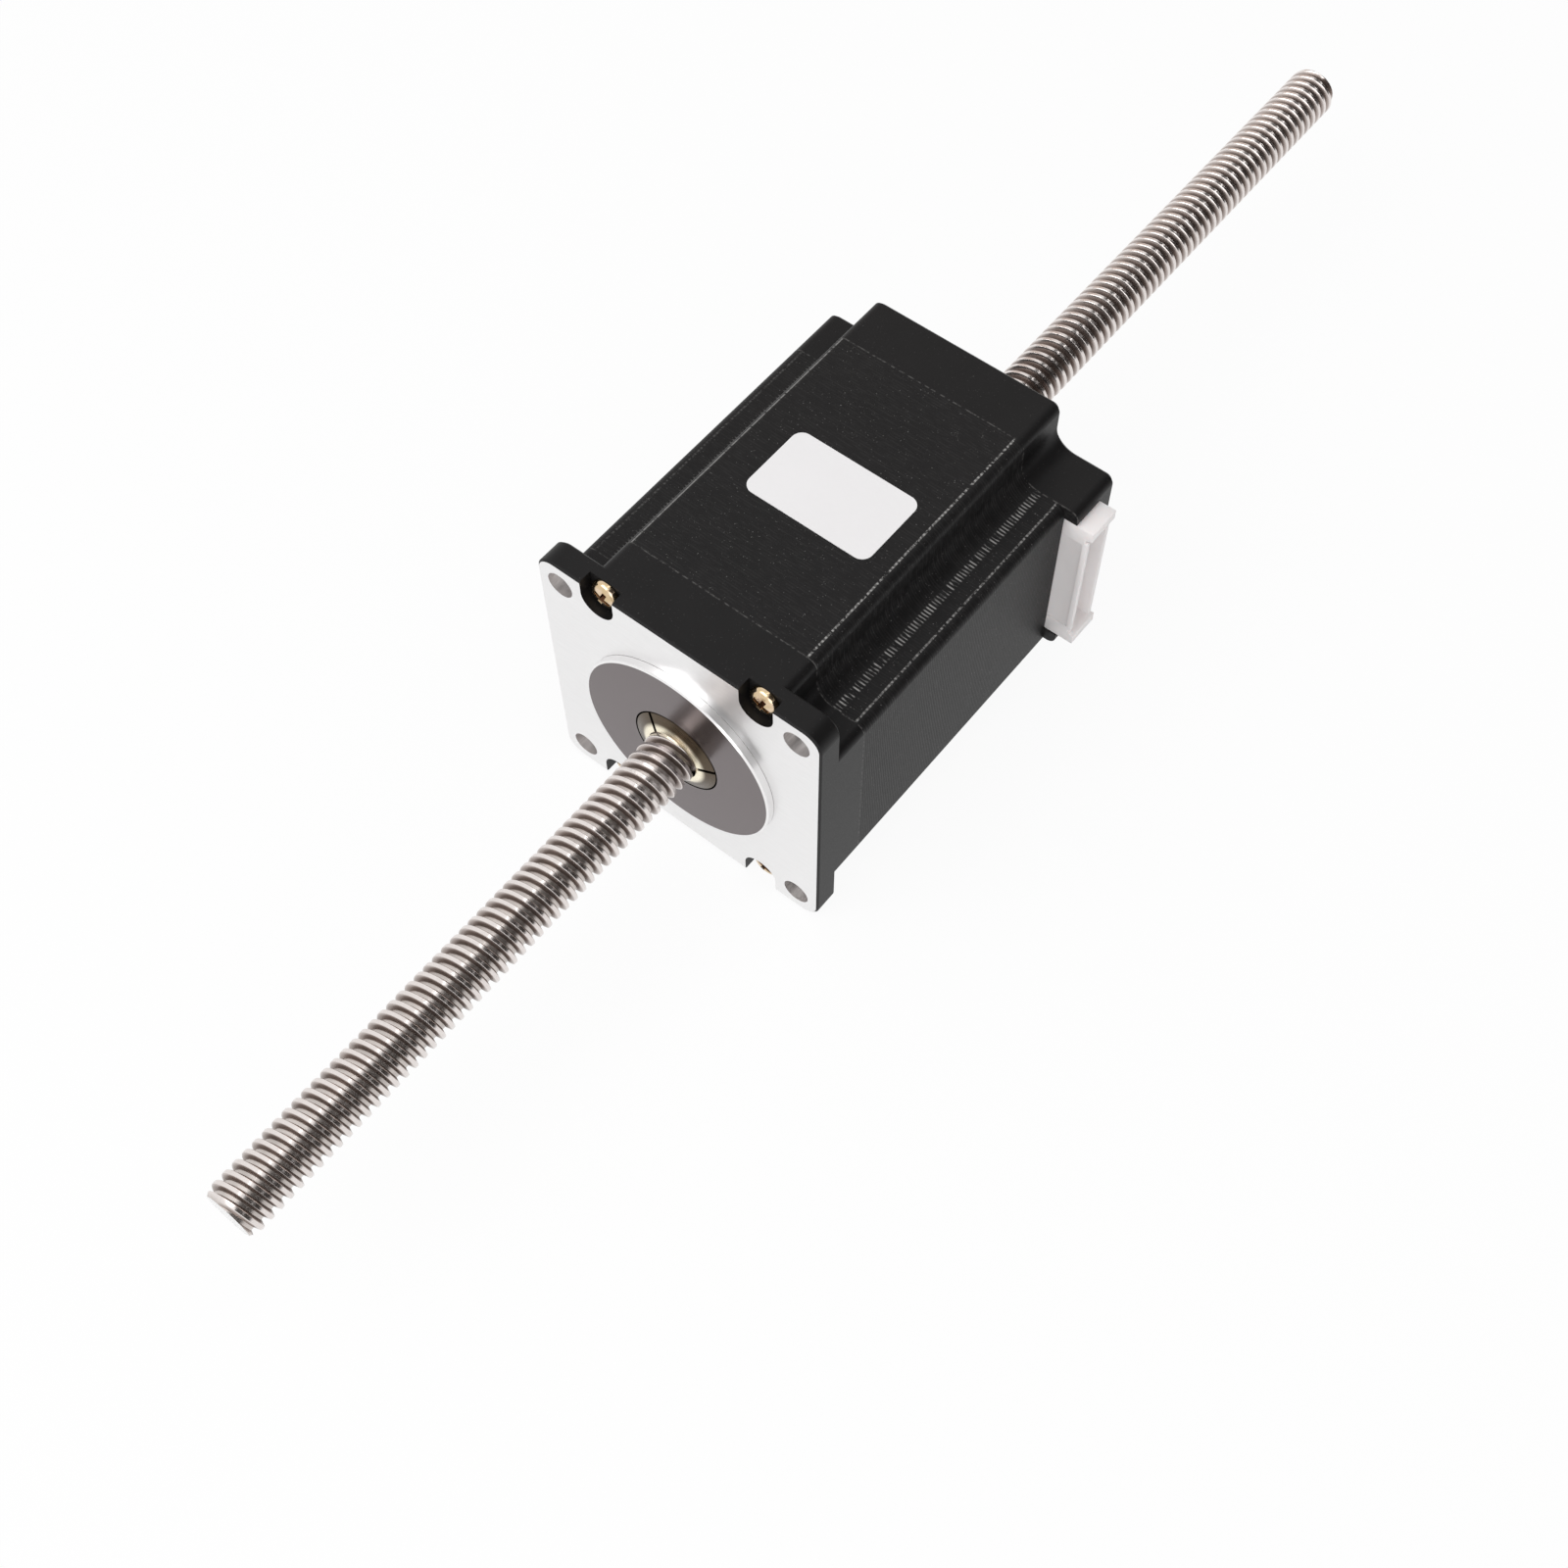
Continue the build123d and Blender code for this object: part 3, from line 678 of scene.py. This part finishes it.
def lathe(name, outline, steps):
    """A closed solid turned round the Y axis from (radius, y) points that start and end on the axis."""
    corners = [(0.0, outline[0][1], 0.0)]
    for radius, y in outline[1:-1]:
        for k in range(steps):
            turn = 2.0 * math.pi * k / steps
            corners.append((radius * math.sin(turn), y, radius * math.cos(turn)))
    corners.append((0.0, outline[-1][1], 0.0))
    last = len(corners) - 1
    rings = len(outline) - 2
    faces = []
    for k in range(steps):
        after = (k + 1) % steps
        faces.append((0, 1 + after, 1 + k))
        for ring in range(rings - 1):
            low = 1 + ring * steps
            high = low + steps
            faces.append((low + k, low + after, high + after, high + k))
        base = 1 + (rings - 1) * steps
        faces.append((base + k, base + after, last))
    piece = mesh_piece(name, corners, faces)
    tidy_normals(piece)
    return piece


def moulded_cells(name, xs, ys, zs, filled):
    """One closed form out of the cells of a grid, each kept or left empty by its middle."""
    grid = (xs, ys, zs)
    kept = set()
    for i in range(len(xs) - 1):
        for j in range(len(ys) - 1):
            for k in range(len(zs) - 1):
                middle = [(line[n] + line[n + 1]) / 2.0 for line, n in zip(grid, (i, j, k))]
                if filled(*middle):
                    kept.add((i, j, k))
    corners, faces = {}, []
    for cell in kept:
        for axis in range(3):
            for way in (0, 1):
                beside = list(cell)
                beside[axis] += 2 * way - 1
                if tuple(beside) in kept:
                    continue
                first, second = (axis + 1) % 3, (axis + 2) % 3
                ring = []
                for a, b in ((0, 0), (1, 0), (1, 1), (0, 1)):
                    corner = list(cell)
                    corner[axis] += way
                    corner[first] += a
                    corner[second] += b
                    ring.append(corners.setdefault(tuple(corner), len(corners)))
                faces.append(ring if way else ring[::-1])
    places = [tuple(grid[n][corner[n]] for n in range(3)) for corner in corners]
    return mesh_piece(name, places, faces)


def tidy_normals(piece):
    """Joins doubled corners and turns every face outward."""
    work = bmesh.new()
    work.from_mesh(piece.data)
    bmesh.ops.remove_doubles(work, verts=work.verts, dist=1e-7)
    bmesh.ops.recalc_face_normals(work, faces=work.faces)
    work.to_mesh(piece.data)
    work.free()


def settle(piece):
    """Turns the piece's modifiers into a plain mesh."""
    depsgraph = bpy.context.evaluated_depsgraph_get()
    mesh = bpy.data.meshes.new_from_object(piece.evaluated_get(depsgraph), depsgraph=depsgraph)
    piece.modifiers.clear()
    piece.data = mesh
    return piece


def cut_away(piece, cutters):
    """Takes each cutter's form out of the piece."""
    for cutter in cutters:
        change = piece.modifiers.new("cut", "BOOLEAN")
        change.operation = "DIFFERENCE"
        change.solver = "EXACT"
        change.object = cutter
        settle(piece)
        bpy.data.objects.remove(cutter)


def round_shading(piece, degrees):
    """Shades the piece smooth, apart from edges sharper than an angle."""
    piece.data.polygons.foreach_set("use_smooth", [True] * len(piece.data.polygons))
    piece.data.set_sharp_from_angle(angle=math.radians(degrees))


class Rule(Nodes):
    """A geometry tree with named inputs."""

    def __init__(self, name, inputs):
        super().__init__(bpy.data.node_groups.new(name, "GeometryNodeTree"))
        self.tree.is_modifier = True
        self.names = {}
        sockets = self.tree.interface
        sockets.new_socket("Geometry", in_out="INPUT", socket_type="NodeSocketGeometry")
        for label, kind in inputs.items():
            socket = sockets.new_socket(label, in_out="INPUT", socket_type="NodeSocket" + kind)
            self.names[label] = socket.identifier
        sockets.new_socket("Geometry", in_out="OUTPUT", socket_type="NodeSocketGeometry")
        self.entry = self.tree.nodes.new("NodeGroupInput")
        self.exit = self.tree.nodes.new("NodeGroupOutput")

    def given(self, label):
        return Wire(self, self.entry.outputs[label])

    def upright(self, flat):
        """Turns a flat layout to face along the motor's axis."""
        quarter = (math.pi / 2.0, 0.0, 0.0)
        return self.node("GeometryNodeTransform", None, {"Geometry": flat, "Rotation": quarter})

    def copies(self, points, piece, **more):
        """One instance of the piece on each point."""
        return self.node("GeometryNodeInstanceOnPoints", None, {"Points": points, "Instance": piece, **more})

    def finish(self, instances):
        """Real geometry with its material, which every tree here ends in."""
        real = self.node("GeometryNodeRealizeInstances", None, {"Geometry": instances})
        merged = self.node("GeometryNodeMergeByDistance", None, {"Geometry": real, "Distance": 1e-6})
        sockets = {"Geometry": merged, "Material": self.given("Finish")}
        self.feed(self.exit.inputs[0], self.node("GeometryNodeSetMaterial", None, sockets))

    def apply(self, piece, **values):
        """Runs the tree on a piece and keeps the plain mesh that comes out."""
        change = piece.modifiers.new("rule", "NODES")
        change.node_group = self.tree
        for label, value in values.items():
            change[self.names[label]] = value
        return settle(piece)


def thread_rule():
    """Slices of one thread surface, each turned and moved on by its share of the lead."""
    rule = Rule("rolled_thread", {"Slices": "Int", "Lead": "Float", "Finish": "Material"})
    count = rule.given("Slices")
    offset = rule.node("ShaderNodeCombineXYZ", None, {"Y": rule.given("Lead") / count})
    line = rule.node("GeometryNodeMeshLine", {"mode": "OFFSET"}, {"Count": count, "Offset": offset})
    angle = rule.node("GeometryNodeInputIndex") / count * (2.0 * math.pi)
    turn = rule.node("FunctionNodeAxisAngleToRotation", None, {"Axis": (0.0, 1.0, 0.0), "Angle": angle})
    rule.finish(rule.copies(line, rule.given("Geometry"), Rotation=turn))
    return rule


def four_corner_rule():
    """The same screw at the four corners of a rectangle in the XZ plane."""
    rule = Rule("joining_screws", {"Across": "Float", "Up": "Float", "Finish": "Material"})
    sides = {"Size X": rule.given("Across"), "Size Y": rule.given("Up"), "Vertices X": 2, "Vertices Y": 2}
    grid = rule.node("GeometryNodeMeshGrid", None, sides)
    rule.finish(rule.copies(rule.upright(grid), rule.given("Geometry")))
    return rule


def ball_ring_rule():
    """Balls spaced evenly on a circle round the screw axis."""
    sizes = dict.fromkeys(("Circle", "Ball", "First", "Along"), "Float")
    rule = Rule("bearing_balls", {"Balls": "Int", **sizes, "Finish": "Material"})
    sockets = {"Vertices": rule.given("Balls"), "Radius": rule.given("Circle")}
    circle = rule.node("GeometryNodeMeshCircle", None, sockets)
    spin = rule.node("ShaderNodeCombineXYZ", None, {"Y": rule.given("First")})
    shift = rule.node("ShaderNodeCombineXYZ", None, {"Y": rule.given("Along")})
    sockets = {"Geometry": rule.upright(circle), "Translation": shift, "Rotation": spin}
    placed = rule.node("GeometryNodeTransform", None, sockets)
    sockets = {"Segments": 24, "Rings": 14, "Radius": rule.given("Ball")}
    rule.finish(rule.copies(placed, rule.node("GeometryNodeMeshUVSphere", None, sockets)))
    return rule


def thread_slice(settings, front, rear, outer):
    """The screw's surface between two neighbouring radial planes, with spare turns past both ends."""
    inner = outer - settings.depth
    lead = settings.pitch * settings.starts
    # One turn's outline, as shares of the pitch and of the depth
    profile = ((0.14, 0.0), (0.31, 0.91), (0.36, 1.0), (0.64, 1.0), (0.69, 0.91), (0.86, 0.0))
    first = math.floor((front - lead - settings.pitch - settings.first_turn) / settings.pitch)
    turns = math.ceil((rear - front + 2.0 * lead + 2.0 * settings.pitch) / settings.pitch)
    corners = []
    for k in range(turns):
        base = settings.first_turn + (first + k) * settings.pitch
        for along, rise in profile:
            for side in (0, 1):
                turn = 2.0 * math.pi * side / settings.steps
                radius = inner + settings.depth * rise
                y = base + along * settings.pitch + lead * side / settings.steps
                corners.append((radius * math.sin(turn), y, radius * math.cos(turn)))
    faces = [(2 * k, 2 * k + 1, 2 * k + 3, 2 * k + 2) for k in range(turns * len(profile) - 1)]
    return corners, faces


def trim_ends(piece, front, rear, outer, chamfer):
    """Chamfers both screw ends, cuts them square and closes them."""
    work = bmesh.new()
    work.from_mesh(piece.data)
    for corner in work.verts:
        reach = min(corner.co.y - front, rear - corner.co.y)
        limit = outer - chamfer + max(reach, 0.0)
        radius = math.hypot(corner.co.x, corner.co.z)
        if radius > limit:
            corner.co.x *= limit / radius
            corner.co.z *= limit / radius
    for level, way in ((front, -1.0), (rear, 1.0)):
        everything = list(work.verts) + list(work.edges) + list(work.faces)
        cut = {"plane_co": (0.0, level, 0.0), "plane_no": (0.0, way, 0.0), "clear_outer": True}
        bmesh.ops.bisect_plane(work, geom=everything, dist=1e-8, **cut)
    for level in (front, rear):
        rim = [edge for edge in work.edges if edge.is_boundary and abs(edge.verts[0].co.y - level) < 1e-5]
        bmesh.ops.edgeloop_fill(work, edges=rim)
    bmesh.ops.recalc_face_normals(work, faces=work.faces)
    work.to_mesh(piece.data)
    work.free()


def recess_cutter(half_x, half_z, top, foot):
    """A tapered block that cuts one arm of a cross recess, from above the head down to its foot."""
    taper, spare = 0.62, 0.0004
    corners = []
    for level, share in ((top - spare, 1.0), (foot, taper)):
        for side_x, side_z in ((-1, -1), (1, -1), (1, 1), (-1, 1)):
            corners.append((side_x * half_x * share, level, side_z * half_z * share))
    faces = [(0, 1, 2, 3), (7, 6, 5, 4), (0, 4, 5, 1), (1, 5, 6, 2), (2, 6, 7, 3), (3, 7, 4, 0)]
    cutter = mesh_piece("recess", corners, faces)
    tidy_normals(cutter)
    return cutter


# Operators


class STEPPER_OT_lead_screw(bpy.types.Operator):
    """Makes the rolled lead screw with its two-start thread"""

    bl_idname = "stepper.lead_screw"
    bl_label = "Lead Screw"

    def execute(self, context):
        settings = context.scene.stepper_lead_screw
        front, rear, outer = SCREW_FRONT.y, SCREW_REAR.y, SCREW_REAR.x
        piece = mesh_piece("threaded_lead_screw", *thread_slice(settings, front, rear, outer))
        finish = rolled_screw_steel(settings)
        lead = settings.pitch * settings.starts
        thread_rule().apply(piece, Slices=settings.steps, Lead=lead, Finish=finish.material)
        trim_ends(piece, front, rear, outer, settings.end_chamfer)
        round_shading(piece, 30.0)
        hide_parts("lead_screw")
        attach(piece, "screw")
        return {"FINISHED"}


class STEPPER_OT_joining_screws(bpy.types.Operator):
    """Makes the four yellow screws with their domed heads and cross recesses"""

    bl_idname = "stepper.joining_screws"
    bl_label = "Joining Screws"

    def execute(self, context):
        settings = context.scene.stepper_joining_screws
        top, tip = JOINING_LOW.y, JOINING_HIGH.y
        seat = top + settings.head_height
        head = settings.head_diameter / 2.0
        shank = settings.shank_diameter / 2.0
        rim, edge_in, edge_up, bulge = 0.0003, 0.0001, 0.00012, 0.8
        tip_chamfer, recess_depth, dome_steps = 0.0004, 0.0011, 7
        dome = settings.head_height - rim
        outline = [(0.0, top)]
        for k in range(1, dome_steps + 1):
            turn = math.radians(90.0 * k / dome_steps)
            outline.append((head * math.sin(turn) ** bulge, top + dome * (1.0 - math.cos(turn) ** bulge)))
        outline += [(head, seat - edge_up), (head - edge_in, seat), (shank, seat)]
        outline += [(shank, tip - tip_chamfer), (shank - tip_chamfer, tip), (0.0, tip)]
        piece = lathe("cross_head_screws", outline, 40)
        wide, narrow = settings.recess_span / 2.0, settings.recess_width / 2.0
        foot = top + recess_depth
        cut_away(piece, [recess_cutter(wide, narrow, top, foot), recess_cutter(narrow, wide, top, foot)])
        piece.data.transform(Matrix.Rotation(math.radians(24.0), 4, "Y"))
        finish = yellow_zinc(settings)
        across = JOINING_HIGH.x - JOINING_LOW.x - settings.head_diameter
        up = JOINING_HIGH.z - JOINING_LOW.z - settings.head_diameter
        four_corner_rule().apply(piece, Across=across, Up=up, Finish=finish.material)
        round_shading(piece, 32.0)
        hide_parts("assembly_screws")
        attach(piece, "housing")
        return {"FINISHED"}


class STEPPER_OT_bearing_balls(bpy.types.Operator):
    """Makes the round balls of both bearings"""

    bl_idname = "stepper.bearing_balls"
    bl_label = "Bearing Balls"

    def execute(self, context):
        settings = context.scene.stepper_bearings
        steel = (0.8, 0.8, 0.82)
        finish = turned_metal("polished_bearing_balls", steel, rough=0.08, line=900.0, depth=0.000003)
        rule = ball_ring_rule()
        for side in ("front", "rear"):
            low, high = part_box(side + "_bearing_balls")
            piece = mesh_piece("round_" + side + "_balls", [], [])
            rule.apply(
                piece,
                Balls=settings.ball_count,
                Circle=settings.pitch_radius,
                Ball=settings.ball_diameter / 2.0,
                First=settings.first_angle,
                Along=(low.y + high.y) / 2.0,
                Finish=finish.material,
            )
            round_shading(piece, 60.0)
            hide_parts(side + "_bearing_balls")
            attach(piece, side + "_ball_set")
        return {"FINISHED"}


class STEPPER_OT_connector_shell(bpy.types.Operator):
    """Makes the moulded connector shell with its stepped rim and panelled walls"""

    bl_idname = "stepper.connector_shell"
    bl_label = "Connector Shell"

    def execute(self, context):
        settings = context.scene.stepper_connector
        low, high = SHELL_LOW, SHELL_HIGH
        rim = high.x - settings.step
        floor = low.x + settings.floor
        front, back = low.y + settings.wall, high.y - settings.wall
        lower, upper = low.z + settings.end_block, high.z - settings.end_block
        deep = settings.panel_depth
        panel_foot, panel_top, panel_end = 0.0026, 0.001, 0.0018
        notch_depth, notch_inner, notch_outer = 0.00055, 0.0003, 0.0012
        panel_x = (low.x + panel_foot, rim - panel_top)
        panel_z = (lower + panel_end, upper - panel_end)
        notch_x = rim - notch_depth
        notch_z = ((lower + notch_inner, lower + notch_outer), (upper - notch_outer, upper - notch_inner))

        def filled(x, y, z):
            if z < lower or z > upper:
                return True
            if x > rim or (x > floor and front < y < back):
                return False
            in_panel = panel_x[0] < x < panel_x[1] and panel_z[0] < z < panel_z[1]
            if in_panel and (y < low.y + deep or y > high.y - deep):
                return False
            return not (y < front and x > notch_x and any(first < z < last for first, last in notch_z))

        xs = (low.x, floor, *panel_x, notch_x, rim, high.x)
        ys = (low.y, low.y + deep, front, back, high.y - deep, high.y)
        zs = (low.z, lower, *notch_z[0], *panel_z, *notch_z[1], upper, high.z)
        piece = moulded_cells("moulded_connector_shell", xs, ys, zs, filled)
        work = bmesh.new()
        work.from_mesh(piece.data)
        flat = math.radians(1.0)
        bmesh.ops.dissolve_limit(work, angle_limit=flat, verts=work.verts, edges=work.edges)
        work.to_mesh(piece.data)
        work.free()
        edge = piece.modifiers.new("edge", "BEVEL")
        edge.width = settings.edge_round
        edge.segments = 2
        edge.limit_method = "ANGLE"
        edge.angle_limit = math.radians(40.0)
        settle(piece)
        round_shading(piece, 35.0)
        finish = moulded("natural_nylon_shell", settings.colour, 0.38)
        finish.set("Subsurface Weight", 0.35)
        finish.set("Subsurface Radius", (1.0, 0.8, 0.75))
        finish.set("Subsurface Scale", 0.0025)
        piece.data.materials.clear()
        piece.data.materials.append(finish.material)
        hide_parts("connector_housing")
        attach(piece, "housing")
        return {"FINISHED"}


class STEPPER_OT_motor_case(bpy.types.Operator):
    """Finishes the end bells, the stator stack and the blank label"""

    bl_idname = "stepper.motor_case"
    bl_label = "Motor Case"

    def execute(self, context):
        settings = context.scene.stepper_finishes
        dress(["front_end_bell"], milled_front_bell(settings))
        dress(["rear_end_bell"], black_rear_bell(settings))
        dress(["stator_stack"], black_laminations(settings))
        dress(["label"], blank_satin_label(settings))
        return {"FINISHED"}


class STEPPER_OT_windings(bpy.types.Operator):
    """Finishes the insulators, windings, leads, pins and terminal board"""

    bl_idname = "stepper.windings"
    bl_label = "Windings And Terminals"

    def execute(self, context):
        dress(["front_insulator", "rear_insulator"], moulded("natural_insulator", (0.8, 0.77, 0.7), 0.5))
        dress(["phase_a_coils", "phase_b_coils"], wound_copper())
        dress(["coil_leads"], enamelled_leads())
        dress(["connector_pins"], plated("tinned_pins", (0.74, 0.73, 0.71)))
        dress(["terminal_board"], solder_mask_board())
        return {"FINISHED"}


class STEPPER_OT_rotor_parts(bpy.types.Operator):
    """Finishes the nut, sleeve, cups, magnets and spacer of the rotor"""

    bl_idname = "stepper.rotor_parts"
    bl_label = "Rotor Parts"

    def execute(self, context):
        settings = context.scene.stepper_finishes
        dress(["drive_nut"], pale_brass_nut(settings))
        dress(["rotor_sleeve"], turned_metal("turned_sleeve_steel", (0.5, 0.5, 0.51), rough=0.3))
        dress(["rotor_cup_" + str(k) for k in range(1, 5)], stacked_rotor_steel(settings))
        dress(["rotor_magnet_1", "rotor_magnet_2"], plated("nickel_magnets", (0.68, 0.66, 0.61)))
        dress(["rotor_spacer"], turned_metal("turned_spacer_aluminium", (0.76, 0.77, 0.78), rough=0.34))
        return {"FINISHED"}


class STEPPER_OT_bearing_rings(bpy.types.Operator):
    """Finishes the bearing rings, shields, cages and the preload spring"""

    bl_idname = "stepper.bearing_rings"
    bl_label = "Bearing Rings"

    def execute(self, context):
        steel, bright = (0.56, 0.56, 0.57), (0.66, 0.66, 0.68)
        rings = ["front_bearing_outer_ring", "rear_bearing_outer_ring"]
        rings += ["front_bearing_inner_ring", "rear_bearing_inner_ring"]
        shields = ["front_bearing_shields", "rear_bearing_shields"]
        dress(rings, turned_metal("ground_bearing_rings", bright, rough=0.16, line=7000.0, depth=0.000004))
        dress(shields, turned_metal("pressed_shields", steel, rough=0.32))
        dress(["front_bearing_cage", "rear_bearing_cage"], moulded("moulded_cages", (0.16, 0.22, 0.15), 0.5))
        dress(["wave_spring"], plated("oiled_spring_steel", (0.3, 0.29, 0.3), rough=0.3))
        return {"FINISHED"}


# Stage


# A flag's outline is a place along Y with both edges there, measured sideways from the flags' middle
FLAG_MIDDLE = Vector((0.507, 0.0, 0.544))
FLAG_SIDEWAYS = Vector((0.731, 0.0, -0.682))
FLAGS = {
    "upper_dark_flag": ((-0.64, -0.34, 0.28), (0.0, -0.34, 0.12), (1.5, -1.05, -0.255)),
    "lower_dark_flag": ((-0.64, 0.31, 0.82), (0.0, 0.15, 0.82), (1.5, -0.225, 0.82)),
}
WALL_CORNERS = [(-1.3, 1.0, 0.05), (-0.3, 1.0, 0.05), (-0.3, 1.0, 0.95), (-1.3, 1.0, 0.95)]
FLOOR_HALF = 3.0
LAMP_TARGET = (0.0, 0.03, 0.0)
CAMERA_PLACE = (0.12270940, -0.12584847, 0.28288681)
CAMERA_RIGHT = Vector((0.778923, 0.627006, -0.011935))
CAMERA_DOWN = Vector((0.536598, -0.676218, -0.504769))
CAMERA_AHEAD = Vector((-0.324564, 0.386771, -0.863172))
CAMERA_SHIFT = (0.01252, 0.00667)


def aimed(place, target):
    """A matrix at a place whose -Z looks at a target."""
    way = Vector(target) - Vector(place)
    return Matrix.Translation(place) @ way.to_track_quat("-Z", "Y").to_matrix().to_4x4()


def pale_floor(settings):
    """A floor that is seen as white and keeps a faint share of its own shadow."""
    level = CAD_BOX[0][2] - 0.0001
    corners = [(x * FLOOR_HALF, y * FLOOR_HALF, level) for x, y in ((-1, -1), (1, -1), (1, 1), (-1, 1))]
    floor = mesh_piece("pale_floor", corners, [(0, 1, 2, 3)])
    paper = Finish("pale_floor_paper", Base_Color=(0.9, 0.9, 0.9), Roughness=0.9)
    glow = paper.node("ShaderNodeEmission", None, {"Color": (1.0, 1.0, 1.0), "Strength": 1.0})
    shown = paper.seen_directly() * (1.0 - settings.shadow)
    matt = Wire(paper, paper.shader.outputs[0])
    mixed = paper.node("ShaderNodeMixShader", None, {0: shown, 1: matt, 2: glow})
    paper.feed(paper.tree.nodes["Material Output"].inputs["Surface"], mixed)
    floor.data.materials.append(paper.material)


def reflected_sheet(name, corners, finish):
    """A sheet of the studio that only shows as a reflection."""
    sheet = mesh_piece(name, corners, [tuple(range(len(corners)))])
    sheet.data.materials.append(finish.material)
    sheet.visible_camera = sheet.visible_diffuse = sheet.visible_shadow = sheet.visible_transmission = False


def dim_cloth(name, colour, strength):
    """Dark cloth with a faint glow."""
    finish = Finish(name, Base_Color=(0.02, 0.02, 0.02), Roughness=1.0, Specular_IOR_Level=0.0)
    finish.set("Emission Color", colour)
    finish.set("Emission Strength", strength)
    return finish


def flags_and_wall():
    """Two dark flags with a narrow gap and a warm wall, which the screw's metal reflects."""
    felt = dim_cloth("dark_felt", (1.0, 0.8, 0.7), 0.025)
    for name, edges in FLAGS.items():
        ring = [(y, low) for y, low, high in edges] + [(y, high) for y, low, high in reversed(edges)]
        corners = [tuple(FLAG_MIDDLE + FLAG_SIDEWAYS * across + Vector((0.0, y, 0.0))) for y, across in ring]
        reflected_sheet(name, corners, felt)
    reflected_sheet("warm_studio_wall", WALL_CORNERS, dim_cloth("warm_wall", (1.0, 0.86, 0.78), 0.66))


def white_room(scene, settings):
    """Soft light from all round, in a room that is seen as white."""
    world = bpy.data.worlds.new("white_room")
    world.use_nodes = True
    scene.world = world
    room = Nodes(world.node_tree)
    back = room.tree.nodes["Background"]
    room.feed(back.inputs["Color"], (1.0, 1.0, 1.0))
    room.feed(back.inputs["Strength"], settings.fill + (1.0 - settings.fill) * room.seen_directly())


def soft_lamp(scene, name, place, size, power):
    """A rectangular lamp aimed at the motor."""
    lamp = bpy.data.lights.new(name, "AREA")
    lamp.shape = "RECTANGLE"
    lamp.size, lamp.size_y = size
    lamp.energy = power
    holder = bpy.data.objects.new(name, lamp)
    holder.matrix_world = aimed(place, LAMP_TARGET)
    scene.collection.objects.link(holder)


def photo_camera(scene, settings):
    """The camera at the photograph's place."""
    view = bpy.data.cameras.new("photo_camera")
    view.sensor_width = 36.0
    view.lens = settings.lens
    view.clip_start = 0.01
    view.clip_end = 20.0
    if settings.shift:
        view.shift_x, view.shift_y = CAMERA_SHIFT
    eye = bpy.data.objects.new("photo_camera", view)
    turn = Matrix((CAMERA_RIGHT, -CAMERA_DOWN, -CAMERA_AHEAD)).transposed().to_4x4()
    eye.matrix_world = Matrix.Translation(CAMERA_PLACE) @ turn
    scene.collection.objects.link(eye)
    scene.camera = eye


class STEPPER_OT_stage(bpy.types.Operator):
    """Makes the pale floor, the soft lamps, the room light and the camera"""

    bl_idname = "stepper.stage"
    bl_label = "Stage"

    def execute(self, context):
        scene = context.scene
        settings = scene.stepper_stage
        pale_floor(settings)
        flags_and_wall()
        white_room(scene, settings)
        soft_lamp(scene, "key_softbox", (-0.25, -0.55, 0.75), (0.7, 0.7), settings.key)
        soft_lamp(scene, "front_fill", (0.45, -0.6, 0.25), (0.5, 0.5), settings.front)
        soft_lamp(scene, "screw_strip", (0.125, 0.38, 0.79), (0.03, 1.2), settings.streak)
        photo_camera(scene, settings)
        scene.view_settings.view_transform = "Standard"
        return {"FINISHED"}


class STEPPER_PT_panel(bpy.types.Panel):
    """The motor's pieces and their settings"""

    bl_idname = "STEPPER_PT_panel"
    bl_label = "Linear Stepper Motor"
    bl_space_type = "VIEW_3D"
    bl_region_type = "UI"
    bl_category = "Linear Motor"

    def draw(self, context):
        scene = context.scene
        for operator, settings in PANEL_ROWS:
            box = self.layout.box()
            box.operator(operator)
            if settings:
                group = getattr(scene, settings)
                for label in group.__annotations__:
                    box.prop(group, label)


GROUPS = {
    "stepper_lead_screw": LeadScrewSettings,
    "stepper_joining_screws": JoiningScrewSettings,
    "stepper_bearings": BearingSettings,
    "stepper_connector": ConnectorSettings,
    "stepper_finishes": FinishSettings,
    "stepper_stage": StageSettings,
}

PANEL_ROWS = (
    ("stepper.motor_case", "stepper_finishes"),
    ("stepper.lead_screw", "stepper_lead_screw"),
    ("stepper.joining_screws", "stepper_joining_screws"),
    ("stepper.connector_shell", "stepper_connector"),
    ("stepper.windings", None),
    ("stepper.rotor_parts", None),
    ("stepper.bearing_rings", None),
    ("stepper.bearing_balls", "stepper_bearings"),
    ("stepper.stage", "stepper_stage"),
)

CLASSES = (
    *GROUPS.values(),
    STEPPER_OT_motor_case,
    STEPPER_OT_lead_screw,
    STEPPER_OT_joining_screws,
    STEPPER_OT_connector_shell,
    STEPPER_OT_windings,
    STEPPER_OT_rotor_parts,
    STEPPER_OT_bearing_rings,
    STEPPER_OT_bearing_balls,
    STEPPER_OT_stage,
    STEPPER_PT_panel,
)


def register():
    for made in CLASSES:
        bpy.utils.register_class(made)
    for name, group in GROUPS.items():
        setattr(bpy.types.Scene, name, PointerProperty(type=group))


def unregister():
    for name in GROUPS:
        delattr(bpy.types.Scene, name)
    for made in reversed(CLASSES):
        bpy.utils.unregister_class(made)


def main():
    register()
    bpy.ops.stepper.motor_case()
    bpy.ops.stepper.lead_screw()
    bpy.ops.stepper.joining_screws()
    bpy.ops.stepper.connector_shell()
    bpy.ops.stepper.windings()
    bpy.ops.stepper.rotor_parts()
    bpy.ops.stepper.bearing_rings()
    bpy.ops.stepper.bearing_balls()
    bpy.ops.stepper.stage()


if __name__ == "__main__":
    main()
